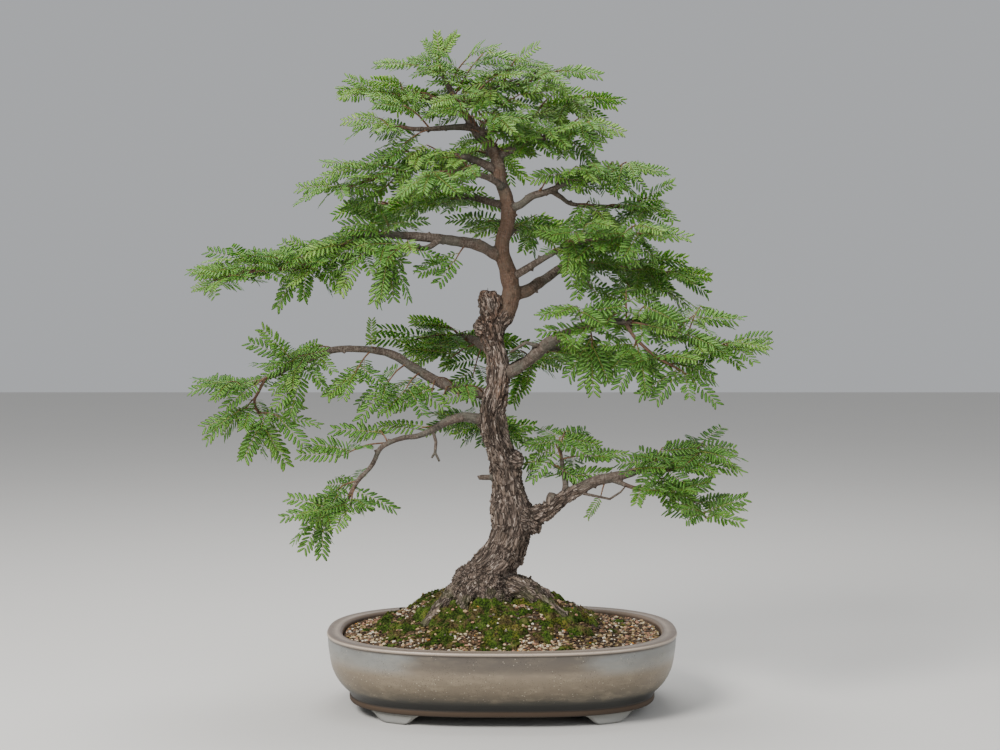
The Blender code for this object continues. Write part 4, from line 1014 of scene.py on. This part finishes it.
colour = start.mix(green * 0.65, colour, paint(88, 92, 58))
feed(shader, "Base Color", colour)
aged = age.between(0.08, 0.5)
relief = (crack * 0.8 + flake * crack * 0.9) * (aged * 0.85 + 0.15) + fibre * (aged * 0.25 + 0.1)
relief = relief + fine * 0.15 + rings * 0.1
feed(shader, "Normal", start.bump(relief, 0.0026))
wood.data.materials.append(bark)
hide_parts("trunk")

# The shoots are this year's growth: thin red-brown stems with pinnate leaves of ten or so pairs of leaflets.
# They spring from the branches and turn their leaves out and up to the light.
SHOOTS = {                      # those with a CAD node, by branch: (share along it, tip, pitch of its leaves)
    "leader": ((1.0, (-70, 4, 746), 58), (0.96, (-108, -6, 733), -5), (0.88, (-20, -4, 748), 5)),
    "crown_top_right": ((1.0, (67, -21, 725), 0), (0.5, (15, -22, 737), 10)),
    "crown_left_top": ((0.55, (-118, 24, 716), 0),),
    "crown_left": ((1.0, (-140, -29, 670), -5), (0.5, (-111, -34, 684), 10)),
    "front_crown": ((1.0, (-6, -72, 668), -15),),
    "crown_right_high": ((1.0, (96, 24, 699), 0),),
    "crown_right": ((1.0, (98, -29, 666), -10), (0.5, (49, -38, 658), -15)),
    "pad_left": ((1.0, (-192, -32, 592), -10), (0.7, (-169, -44, 615), -5), (0.5, (-117, -34, 633), -10)),
    "pad_left_back": ((1.0, (-154, 89, 576), -10), (0.5, (-83, 72, 590), -5)),
    "front_high": ((1.0, (-80, -98, 602), -25),),
    "right_high": ((1.0, (145, -31, 612), -5), (0.5, (84, -36, 615), -5)),
    "right_high_low": ((1.0, (178, 18, 574), 0), (0.5, (113, 14, 561), -40)),
    "upper_left": (
        (0.85, (-292, -40, 508), 16), (0.72, (-255, -44, 511), 12), (0.62, (-232, -20, 495), -35),
        (0.5, (-180, -40, 526), 0), (0.38, (-134, -8, 561), 10)),
    "upper_left_low": ((1.0, (-128, -60, 509), -65),),
    "back_high": ((1.0, (32, 140, 548), -10),),
    "back_crown": ((1.0, (-26, 106, 642), -5),),
    "right_upper": ((1.0, (206, 64, 494), -10),),
    "right_upper_front": ((1.0, (159, -51, 538), -10), (0.5, (78, -44, 532), -55)),
    "mid_right": (
        (1.0, (257, -60, 414), -5), (0.8, (216, -44, 446), 5), (0.62, (159, -62, 457), 0),
        (0.42, (84, -48, 457), 5), (0.45, (101, -58, 411), -60)),
    "mid_right_low": ((1.0, (205, -84, 380), -20),),
    "mid_right_back": ((1.0, (142, 109, 396), 0),),
    "mid_left_drop": ((1.0, (-273, -20, 322), -50),),
    "mid_left": (
        (1.0, (-308, -14, 366), 5), (0.8, (-246, -6, 400), 30), (0.5, (-169, -2, 378), -25),
        (0.3, (-112, -14, 358), -25)),
    "back_mid": ((1.0, (-66, 168, 412), 0),),
    "back_low": ((1.0, (-10, 170, 306), -10),),
    "low_left": ((1.0, (-200, -58, 226), -50), (0.55, (-180, -40, 288), 0), (0.8, (-186, -46, 250), -20)),
    "low_right_up": ((1.0, (67, 15, 304), 5), (0.5, (41, 6, 277), -15)),
    "low_right": ((1.0, (224, -41, 293), 0), (0.75, (182, -30, 296), 5)),
    "low_right_low": ((1.0, (228, -61, 227), 14),),
}
MORE_SHOOTS = (                 # further shoots between them: (branch, share, tip, pitch, number of leaves)
    ("crown_top_right", 0.35, (-12, 22, 716), 5, 5), ("crown_left", 0.45, (-111, -30, 641), -20, 5),
    ("front_crown", 0.5, (-40, -44, 672), 0, 5), ("crown_right_high", 0.55, (61, 34, 704), 5, 5),
    ("crown_right", 0.7, (84, -14, 641), -40, 5), ("pad_left", 0.55, (-134, -20, 590), -35, 5),
    ("pad_left", 0.3, (-71, -36, 607), -30, 5), ("front_high", 0.5, (-52, -50, 628), -10, 5),
    ("right_high", 0.3, (55, -34, 603), -10, 5), ("upper_left", 0.45, (-163, -44, 507), -35, 5),
    ("upper_left", 0.12, (-54, -22, 507), -20, 4), ("back_high", 0.5, (-20, 74, 556), 0, 5),
    ("right_upper", 0.5, (136, 66, 506), -10, 5), ("right_upper_front", 0.6, (95, -52, 549), 0, 5),
    ("mid_right_low", 0.3, (153, -74, 400), -50, 5), ("mid_right_back", 0.45, (32, 60, 380), -45, 4),
    ("mid_left", 0.72, (-232, -14, 373), -40, 4), ("mid_left", 0.48, (-151, 8, 409), 84, 1),
    ("mid_left", 0.24, (-80, -12, 358), -30, 6), ("mid_left", 0.15, (-50, -14, 352), -22, 5),
    ("mid_left", 0.1, (-42, -24, 366), -8, 5), ("mid_left", 0.18, (-66, -26, 356), -14, 5),
    ("mid_left", 0.36, (-134, -8, 364), -22, 5), ("back_mid", 0.4, (-80, 64, 402), 8, 6),
    ("back_mid", 0.3, (-60, 58, 394), 0, 5), ("back_mid", 0.5, (-104, 68, 415), 8, 5),
    ("mid_left_drop", 0.8, (-300, -24, 338), -30, 4), ("mid_left_drop", 0.9, (-252, -24, 330), -15, 4),
    ("back_mid", 0.6, (-66, 92, 430), 0, 5), ("back_low", 0.6, (-50, 96, 322), 0, 5),
    ("low_left", 0.56, (-138, -36, 316), 5, 4), ("low_left", 0.3, (-96, -22, 316), 5, 2),
    ("low_right_up", 0.7, (101, 8, 281), 0, 4),
    ("low_right", 0.7, (176, -48, 265), -30, 4), ("low_right", 0.52, (112, -28, 240), -62, 1),
    ("right_upper", 0.75, (170, 50, 512), 0, 5), ("mid_right", 0.3, (60, -50, 430), -20, 5),
    ("leader", 0.92, (-36, -30, 741), 10, 5), ("leader", 0.82, (-8, -38, 716), 5, 6),
    ("leader", 0.86, (16, -20, 728), 5, 5), ("leader", 0.76, (-52, -48, 690), -5, 5),
    ("leader", 0.7, (-26, -50, 668), -10, 5), ("leader", 0.66, (10, -46, 662), -20, 5),
    ("leader", 0.74, (20, -34, 696), -5, 6), ("leader", 0.84, (-26, 28, 722), 5, 5),
    ("mid_left", 0.05, (-36, -30, 366), -15, 4), ("mid_left", 0.16, (-72, -30, 376), 5, 5),
    ("right_upper", 0.85, (196, 40, 470), -18, 5), ("mid_right", 0.6, (140, -40, 474), 8, 5),
    ("right_upper", 0.45, (104, 20, 474), -22, 5), ("right_upper", 0.65, (150, 46, 478), -15, 5),
    ("mid_right", 0.85, (226, -20, 456), 12, 5), ("back_mid", 0.25, (-34, 60, 374), -18, 5),
)
SIDE_SHOOT_STEP = 15.0
BARE_FROM_TRUNK = (0.0, 0.24)   # shares between which a branch is bare, if no others are given
BARE_SHARES = {
    "low_left": (0.0, 0.72), "mid_left": (0.25, 0.6), "upper_left": (0.0, 0.34), "low_right": (0.0, 0.6),
    "mid_right": (0.0, 0.36), "right_upper": (0.0, 0.34), "right_upper_front": (0.0, 0.3),
    "crown_left": (0.1, 0.6),
    **dict.fromkeys(("leader", "crown_left_top", "crown_top_right", "crown_right_high"), (0.0, 0.0)),
    **dict.fromkeys(("crown_right", "front_crown"), (0.0, 0.0)),
}
FEWER_LEAVES = {"low_left": 5}
ONE_LEAF_GROWTH = 0.6           # a leaf that stands alone is a small one
CROWN_FROM = 560                # above this the leaves grow shorter over the next stretch
CROWN_STRETCH = 80
CROWN_GROWTH = 0.86
REACH = (                       # (height, left, right) of the crown's outline as the camera sees it
    (345, -360, 200), (358, -360, 240), (378, -360, 246), (392, -360, 296), (412, -360, 318),
    (430, -360, 304), (451, -360, 280), (466, -360, 262), (480, -360, 246), (500, -360, 234),
    (520, -360, 228), (540, -330, 214), (556, -290, 200), (575, -262, 190), (592, -248, 202),
    (615, -214, 188), (640, -196, 150), (662, -186, 140), (716, -190, 140), (726, -190, 116),
    (740, -150, 84), (748, -124, 62), (756, -100, 44), (768, -86, 14), (784, -78, -28),
)
EYE_DISTANCE = 2200             # how far the camera stands in front of the pot's middle, and how high
EYE_HEIGHT = 487
BARE_MARGIN = 9.0               # no leaf hangs nearer than this before bare wood
SIDE_SHOOT_LENGTH = (12.0, 30.0)
SIDE_SHOOT_TURN = (25.0, 78.0)
SIDE_SHOOT_LEAVES = (3, 5)
SIDE_SHOOT_RISE = (-0.3, 0.6)
SIDE_PITCH = (-28.0, 12.0)      # how steeply their leaves hang or rise, in degrees
OWN_SIDE_PITCH = {"upper_left": (-8.0, 24.0), "low_right_low": (0.0, 26.0), "low_right": (-12.0, 18.0)}
SIDE_LEAF_GROWTH = 0.92
TRUNK_BARE = (118, 616)         # heights between which no leaf hangs before the trunk
TWIG_RADIUS = (1.15, 0.65)
TWIG_LIFT = 0.08
LEAVES_SHOWN = 8
LEAF_SEED = 700
LEAF_LENGTH = 50.0
LEAF_SAG = 0.16
LEAF_SPACING = 10.0
LEAF_PART = 0.8                 # share of a short shoot that its leaves are spread over
MORE_PART = 0.85                # the same for the further shoots
SHORTER = (1.0, 0.88, 0.76, 0.64)        # lengths that a leaf is tried at, to keep inside the plant's box
RIB_TRIED = (0.35, 0.7, 1.0)    # shares of its rib that have to keep clear of bare wood
TIP_LIGHTER = 0.16              # the youngest leaf of a shoot, at its tip, is paler
HIGH_PAINTED_LIGHT = (0.12, 400, 350) # painted light on high leaves and painted shade on low ones, as if lit from above: by how much, from where and over what run
FACINGS = (0.5, 1.5, 0.9, 0.3, 1.2)      # how strongly each leaf in turn faces out to the front or back
FIRST_FAN = 24.0
FAN_STEP = 24.0
FAN_LIMIT = 150.0
BACK_LEAVES_FROM = 20.0
LEAF_SHAPES = 6
LEAFLET_PAIRS = (9, 11)
LEAFLET_LENGTH = 12.0
LEAFLET_HALF_WIDTH = 1.7
LEAFLET_FORM = ((0.0, 0.0), (0.2, 0.92), (0.76, 1.0), (1.0, 0.4))       # (share of length, share of width)
LEAFLET_FOLD = 0.035
LEAFLET_DROOP = 0.07
LEAFLET_LEAN = (74, -36)        # degrees from the rib at its foot, and how that changes towards its tip
LEAF_STALK = 0.12
RIB_STATIONS = 7
RIB_RADIUS = 0.011              # as a share of the leaf's length
RIB_TAPER = 0.86


def leaflet_mesh():
    """A blunt little blade one unit long: a grid drawn to a point at each end, raised along its midrib."""
    bm = bmesh.new()
    bmesh.ops.create_grid(bm, x_segments=len(LEAFLET_FORM) - 1, y_segments=2, size=0.5)
    midrib = bm.verts.layers.float.new("midrib")
    for corner in bm.verts:
        share, half = LEAFLET_FORM[round((corner.co.x + 0.5) * (len(LEAFLET_FORM) - 1))]
        half *= LEAFLET_HALF_WIDTH / LEAFLET_LENGTH
        side = round(corner.co.y * 2)
        corner[midrib] = 1.0 if side == 0 else 0.0
        fold = LEAFLET_FOLD if side == 0 and 0.1 < share < 0.9 else 0.0
        corner.co = Vector((share, side * half, fold - LEAFLET_DROOP * share * share))
    bmesh.ops.remove_doubles(bm, verts=bm.verts, dist=0.001)
    rim = [edge for edge in bm.edges if edge.is_boundary]
    under = bmesh.ops.edgeloop_fill(bm, edges=rim)["faces"]
    bmesh.ops.triangulate(bm, faces=under)
    bmesh.ops.recalc_face_normals(bm, faces=bm.faces)
    return mesh_of(bm, "leaflet")


def leaf_mesh(draw, leaflet):
    """A whole leaf one unit long: an arched rib along X with its pairs of leaflets, facing +Z."""
    bm = bmesh.new()
    midrib = bm.verts.layers.float.new("midrib")
    tone = bm.verts.layers.float.new("tone")
    stalk = bm.verts.layers.float.new("stalk")
    bmesh.ops.create_circle(bm, cap_ends=True, segments=4, radius=RIB_RADIUS)
    bmesh.ops.rotate(bm, matrix=Matrix.Rotation(math.pi / 2, 3, "Y"), verts=bm.verts)
    rim = list(bm.edges)
    for _ in range(RIB_STATIONS):
        ring, rim = next_ring(bm, rim)
        bmesh.ops.translate(bm, vec=(1 / RIB_STATIONS, 0, 0), verts=ring)
        bmesh.ops.scale(bm, vec=(1, RIB_TAPER, RIB_TAPER), verts=ring)
    bmesh.ops.edgeloop_fill(bm, edges=rim)
    for corner in bm.verts:
        corner[stalk] = 1.0
    pairs = draw.randint(*LEAFLET_PAIRS)
    for k in range(pairs):
        share = LEAF_STALK + (0.96 - LEAF_STALK) * k / (pairs - 1)
        size = LEAFLET_LENGTH / LEAF_LENGTH * (0.70 + 0.36 * math.sin(math.pi * (0.10 + 0.78 * share)))
        for side in (-1, 1):
            corners = add_copy(bm, leaflet)
            lean = side * math.radians(LEAFLET_LEAN[0] + LEAFLET_LEAN[1] * share + draw.uniform(-6, 6))
            roll = Matrix.Rotation(draw.uniform(-0.3, 0.3), 4, "X")
            pitch = Matrix.Rotation(draw.uniform(-0.2, 0.12), 4, "Y")
            turn = Matrix.Rotation(lean, 4, "Z")
            grow = Matrix.Scale(size * draw.uniform(0.9, 1.08), 4)
            place = Matrix.Translation((share, side * 0.006, 0.004))
            bmesh.ops.transform(bm, matrix=place @ turn @ pitch @ roll @ grow, verts=corners)
            shade = draw.uniform(-0.16, 0.16)
            for corner in corners:
                corner[tone] = shade
    for corner in bm.verts:
        corner.co.z -= LEAF_SAG * corner.co.x * abs(corner.co.x)
    bmesh.ops.recalc_face_normals(bm, faces=bm.faces)
    return mesh_of(bm, "leaf")


def along(points, share):
    """The point at a share of a polyline's length."""
    lengths = [(b - a).length for a, b in zip(points, points[1:])]
    left = share * sum(lengths)
    for a, b, length in zip(points, points[1:], lengths):
        if left <= length:
            return a.lerp(b, left / length)
        left -= length
    return points[-1].copy()


def twig_points(branch, share, tip):
    """A shoot's stem: from the middle of its branch, arched up a little, to its tip."""
    route = LEADER if branch == "leader" else BRANCHES[branch]
    base = along([Vector(point[:3]) for point in route], share)
    end = Vector(tip)
    middle = base.lerp(end, 0.5)
    middle.z += TWIG_LIFT * (end - base).length
    return [base, middle, end]


def leaf_poses(index, twig, pitch, spacing=None):
    """Where each leaf of a shoot roots, and the way it heads and faces, with seeded draws."""
    draw = random.Random(LEAF_SEED + index)
    run = twig[-1] - twig[0]
    heading = math.atan2(run.y, run.x)
    facing = Vector((0, 1, 0)) if twig[-1].y > BACK_LEAVES_FROM else Vector((0, -1, 0))
    spacing = spacing or min(LEAF_SPACING, LEAF_PART * run.length / LEAVES_SHOWN)
    poses = []
    for number in range(LEAVES_SHOWN):
        side = 1 if (number + index) % 2 else -1
        fan = 0.3 * FIRST_FAN if number == 0 else min(FIRST_FAN + FAN_STEP * (number - 1), FAN_LIMIT)
        turn = heading + side * math.radians(fan + draw.uniform(-8, 8))
        tilt = math.radians(pitch + draw.uniform(-16, 16))
        length = LEAF_LENGTH * draw.uniform(0.82, 1.08)
        roll = draw.uniform(-0.35, 0.35)
        share = 1 - number * spacing / run.length
        ahead = Vector((math.cos(turn) * math.cos(tilt), math.sin(turn) * math.cos(tilt), math.sin(tilt)))
        outward = Vector((math.cos(turn), math.sin(turn), 0))
        across = Vector((-math.sin(turn), math.cos(turn), 0))
        faced = FACINGS[(number + index) % len(FACINGS)]
        up = Vector((0, 0, 0.75)) + facing * faced + outward * 0.2 + across * roll
        poses.append((share, ahead, up, length))
    return poses


leaf_finish, shader, start, places = new_finish("locust_leaf", 0.5, 0.42)
shader.inputs["Subsurface Weight"].default_value = 0.5
shader.inputs["Subsurface Radius"].default_value = (0.6, 1.0, 0.25)
shader.inputs["Subsurface Scale"].default_value = 0.002
midrib = start.layer("midrib")
# The tone layer holds each leaflet's own tone, a paler youngest leaf, and painted light that grows with
# height.
colour = (start.layer("tone") * 0.8 + 0.45).ramp([
    (0.0, paint(34, 70, 24)), (0.3, paint(54, 99, 36)), (0.55, paint(80, 129, 47)),
    (0.8, paint(117, 160, 65)), (1.0, paint(162, 192, 96))])
colour = start.mix(start.grain(places, 260, 2).between(0.4, 0.7) * 0.3, colour, paint(48, 92, 28))
colour = start.mix(midrib.between(0.55, 1.0) * 0.35, colour, paint(140, 176, 76))
feed(shader, "Base Color", start.mix(start.layer("stalk"), colour, paint(128, 128, 62)))
feed(shader, "Roughness", start.grain(places, 180, 2) * 0.25 + 0.32)
feed(shader, "Normal", start.bump(start.grain(places, 1300, 2) + midrib * 0.6, 0.0004, 0.5))

twig_finish, shader, start, places = new_finish("red_brown_twig", 0.7, 0.35)
streak = start.grain(places, 500, 3)
colour = start.mix(streak.between(0.35, 0.65), paint(86, 58, 43), paint(130, 100, 76))
buds = 1 - start.cells(places, 260).between(0.1, 0.25)
feed(shader, "Base Color", start.mix(buds * 0.6, colour, paint(78, 46, 34)))
feed(shader, "Normal", start.bump(streak + buds, 0.0005, 0.6))

leaflet = leaflet_mesh()
draw = random.Random(LEAF_SEED)
leaf_shapes = [leaf_mesh(draw, leaflet) for _ in range(LEAF_SHAPES)]
leaf_corners = []
for shape in leaf_shapes:
    spread = [[getattr(corner.co, axis) for corner in shape.vertices] for axis in "xyz"]
    leaf_corners.append([Vector(place) for place in product(*((min(row), max(row)) for row in spread))])

upright = smooth_line(TRUNK, 2) + smooth_line(LEADER, 2)
bare_wood = [row for row in upright if TRUNK_BARE[0] < row[2] < TRUNK_BARE[1]]
for branch, route in BRANCHES.items():
    line = smooth_line(route, 4)
    bare_from, bare_to = BARE_SHARES.get(branch, BARE_FROM_TRUNK)
    bare_wood += line[int(len(line) * bare_from):int(len(line) * bare_to)]


def before_bare_wood(place):
    """Whether a place would hide wood that shows bare from the front."""
    spot = (place - POT_MIDDLE) / MM
    for x, y, z, radius in bare_wood:
        if spot.y < y and math.hypot(spot.x - x, spot.z - z) < radius + BARE_MARGIN:
            return True
    return False


def beyond_outline(place):
    """Whether a place in the crown would stand out past the tree's outline from the front."""
    spot = (place - POT_MIDDLE) / MM
    closer = EYE_DISTANCE / (EYE_DISTANCE + spot.y)
    seen_x, seen_z = spot.x * closer, EYE_HEIGHT + (spot.z - EYE_HEIGHT) * closer
    left = read_table([(z, left) for z, left, _ in REACH], max(seen_z, REACH[0][0]))
    right = read_table([(z, right) for z, _, right in REACH], max(seen_z, REACH[0][0]))
    return seen_z > REACH[0][0] and not left < seen_x < right


def new_spray():
    spray = bmesh.new()
    for layer in ("tone", "midrib", "stalk"):
        spray.verts.layers.float.new(layer)
    return spray


def add_shoot(spray, draw, points, poses):
    """Adds one shoot to a spray: its stem, and a leaf for each pose that keeps inside the plant's outline."""
    tone_layer = spray.verts.layers.float["tone"]
    line = smooth_line([tuple(point) for point in points], 4)
    thinner = (TWIG_RADIUS[1] - TWIG_RADIUS[0]) / (len(line) - 1)
    route = [(*row, TWIG_RADIUS[0] + thinner * k) for k, row in enumerate(line)]
    count = len(spray.faces)
    spray.from_mesh(stem_mesh(route, 1))
    spray.faces.ensure_lookup_table()
    for face in spray.faces[count:]:
        face.material_index = 1
    lighter, light_from, light_run = HIGH_PAINTED_LIGHT
    # Painted light: leaves above 400 mm are made paler and those below darker, as if lit from above.
    light = lighter * (points[-1].z - light_from) / light_run
    growth = 1 - (1 - CROWN_GROWTH) * min(max((points[-1].z - CROWN_FROM) / CROWN_STRETCH, 0), 1)
    for number, (place, ahead, up, length) in enumerate(poses):
        root = at(*along(points, place))
        across = up.cross(ahead).normalized()
        up = ahead.cross(across).normalized()
        kind = draw.randrange(LEAF_SHAPES)
        shade = draw.uniform(-0.22, 0.22) + light + (TIP_LIGHTER if number == 0 else 0)
        for shorter in SHORTER:
            turned = Matrix.Translation(root) @ Matrix((ahead, across, up)).transposed().to_4x4()
            turned = turned @ Matrix.Scale(length * growth * shorter * MM, 4)
            reach = [turned @ corner for corner in leaf_corners[kind]]
            rib = [turned @ Vector((share, 0, -LEAF_SAG * share ** 2)) for share in RIB_TRIED]
            if beyond_outline(rib[-1]):
                continue
            if all(low < c < high for spot in reach for c, low, high in zip(spot, *cad_box)):
                break
        else:
            continue
        if any(before_bare_wood(spot) for spot in rib):
            continue
        corners = add_copy(spray, leaf_shapes[kind])
        bmesh.ops.transform(spray, matrix=turned, verts=corners)
        for corner in corners:
            corner[tone_layer] += shade


solid_shoots = [(branch, *shoot) for branch, shoots in SHOOTS.items() for shoot in shoots]
for index, (branch, share, tip, pitch) in enumerate(solid_shoots, 1):
    points = twig_points(branch, share, tip)
    spray = new_spray()
    poses = leaf_poses(index, points, pitch)[:FEWER_LEAVES.get(branch, LEAVES_SHOWN)]
    add_shoot(spray, random.Random(index), points, poses)
    piece = finished_piece(f"leafy_shoot_{index:02d}", spray, leaf_finish, twig_finish, slot="leaf")
    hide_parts(f"shoot_{index:02d}")

for number, (branch, route) in enumerate({"leader": LEADER[-9:], **BRANCHES}.items()):
    draw = random.Random(900 + number)
    spray = new_spray()
    for k, (name, share, tip, pitch, leaves) in enumerate(MORE_SHOOTS, len(solid_shoots) + 1):
        if name == branch:
            points = twig_points(name, share, tip)
            size = ONE_LEAF_GROWTH if leaves == 1 else 1.0
            spacing = MORE_PART * (points[-1] - points[0]).length / leaves
            poses = leaf_poses(k, points, pitch, spacing)
            poses = [(place, way, up, run * size) for place, way, up, run in poses]
            add_shoot(spray, draw, points, poses[:leaves])
    spine = [Vector(row[:3]) for row in route]
    length = sum((b - a).length for a, b in zip(spine, spine[1:]))
    bare = BARE_SHARES.get(branch, BARE_FROM_TRUNK)[1]
    side_count = int(length * (1 - bare) / SIDE_SHOOT_STEP)
    for k in range(side_count):
        share = bare + (1 - bare) * (k + draw.uniform(0.2, 0.8)) / side_count
        ahead = (along(spine, min(share + 0.04, 1)) - along(spine, max(share - 0.04, 0))).normalized()
        turn = math.radians(draw.uniform(*SIDE_SHOOT_TURN)) * (1 if k % 2 else -1)
        heading = Matrix.Rotation(turn, 3, "Z") @ ahead
        heading.z += draw.uniform(*SIDE_SHOOT_RISE)
        base = along(spine, share)
        tip = base + heading.normalized() * draw.uniform(*SIDE_SHOOT_LENGTH)
        points = [base, base.lerp(tip, 0.5) + Vector((0, 0, 1.5)), tip]
        spacing = (tip - base).length / 5
        pitch = draw.uniform(*OWN_SIDE_PITCH.get(branch, SIDE_PITCH))
        poses = leaf_poses(100 * number + k, points, pitch, spacing)
        poses = [(place, way, up, size * SIDE_LEAF_GROWTH) for place, way, up, size in poses]
        add_shoot(spray, draw, points, poses[:draw.randint(*SIDE_SHOOT_LEAVES)])
    if len(spray.verts):
        finished_piece("side_shoots_" + branch, spray, leaf_finish, twig_finish, slot="leaf")
    else:
        spray.free()

# The stage is a flat pale card with a broad soft light over the left shoulder and a weaker one opposite.
# The camera stands where the photograph was taken from, level with the lower branches.
FLOOR_HALF = 6.0
LAMP_AIM = 0.4                  # height on the plant that the lamps are turned to
LAMPS = (                       # (name, place from where it aims, size, power, colour)
    ("key", (-1.3, -1.6, 1.5), 1.1, 80, (1.0, 0.98, 0.95)),
    ("fill", (1.8, -1.4, 0.7), 1.6, 14, (0.94, 0.97, 1.0)),
    ("top", (0.0, 0.5, 1.9), 1.4, 31, (1.0, 1.0, 1.0)),
)
SKY = (0.82, 0.84, 0.87, 1)
SKY_STRENGTH = 0.55
EYE_ASIDE = -2.3
CAMERA_LENS = 68.87
CAMERA_SHIFT = -0.0959

card, shader, start, places = new_finish("pale_card", 0.9, 0.2)
cloudy = start.grain(places, 3, 2) * 0.3
feed(shader, "Base Color", start.mix(cloudy, paint(214, 212, 208), paint(206, 204, 200)))
sweep = bmesh.new()
bmesh.ops.create_grid(sweep, x_segments=1, y_segments=1, size=FLOOR_HALF)
floor_mesh = mesh_of(sweep, "floor")
floor_mesh.materials.append(card)
floor = put_in_scene("floor", floor_mesh)
floor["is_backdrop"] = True

aim = POT_MIDDLE + Vector((0, 0, LAMP_AIM))
for name, aside, size, power, tint in LAMPS:
    lamp = bpy.data.lights.new(name, "AREA")
    lamp.shape = "DISK"
    lamp.size = size
    lamp.energy = power
    lamp.color = tint
    place = aim + Vector(aside)
    holder = put_in_scene(name, lamp)
    holder.location = place
    holder.rotation_euler = (aim - place).to_track_quat("-Z", "Y").to_euler()

world = bpy.data.worlds.new("studio")
world.use_nodes = True
world.node_tree.nodes["Background"].inputs["Color"].default_value = SKY
world.node_tree.nodes["Background"].inputs["Strength"].default_value = SKY_STRENGTH
bpy.context.scene.world = world

lens = bpy.data.cameras.new("camera")
lens.lens = CAMERA_LENS
lens.sensor_width = 36
lens.clip_end = 50
lens.shift_y = CAMERA_SHIFT
camera = put_in_scene("camera", lens)
camera.location = POT_MIDDLE + Vector((EYE_ASIDE * MM, -EYE_DISTANCE * MM, EYE_HEIGHT * MM))
camera.rotation_euler = (math.radians(90), 0, 0)
bpy.context.scene.camera = camera

boxes = {"cad": cad_box, "visual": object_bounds()}
{key: [[round(c, 5) for c in corner] for corner in box] for key, box in boxes.items()}
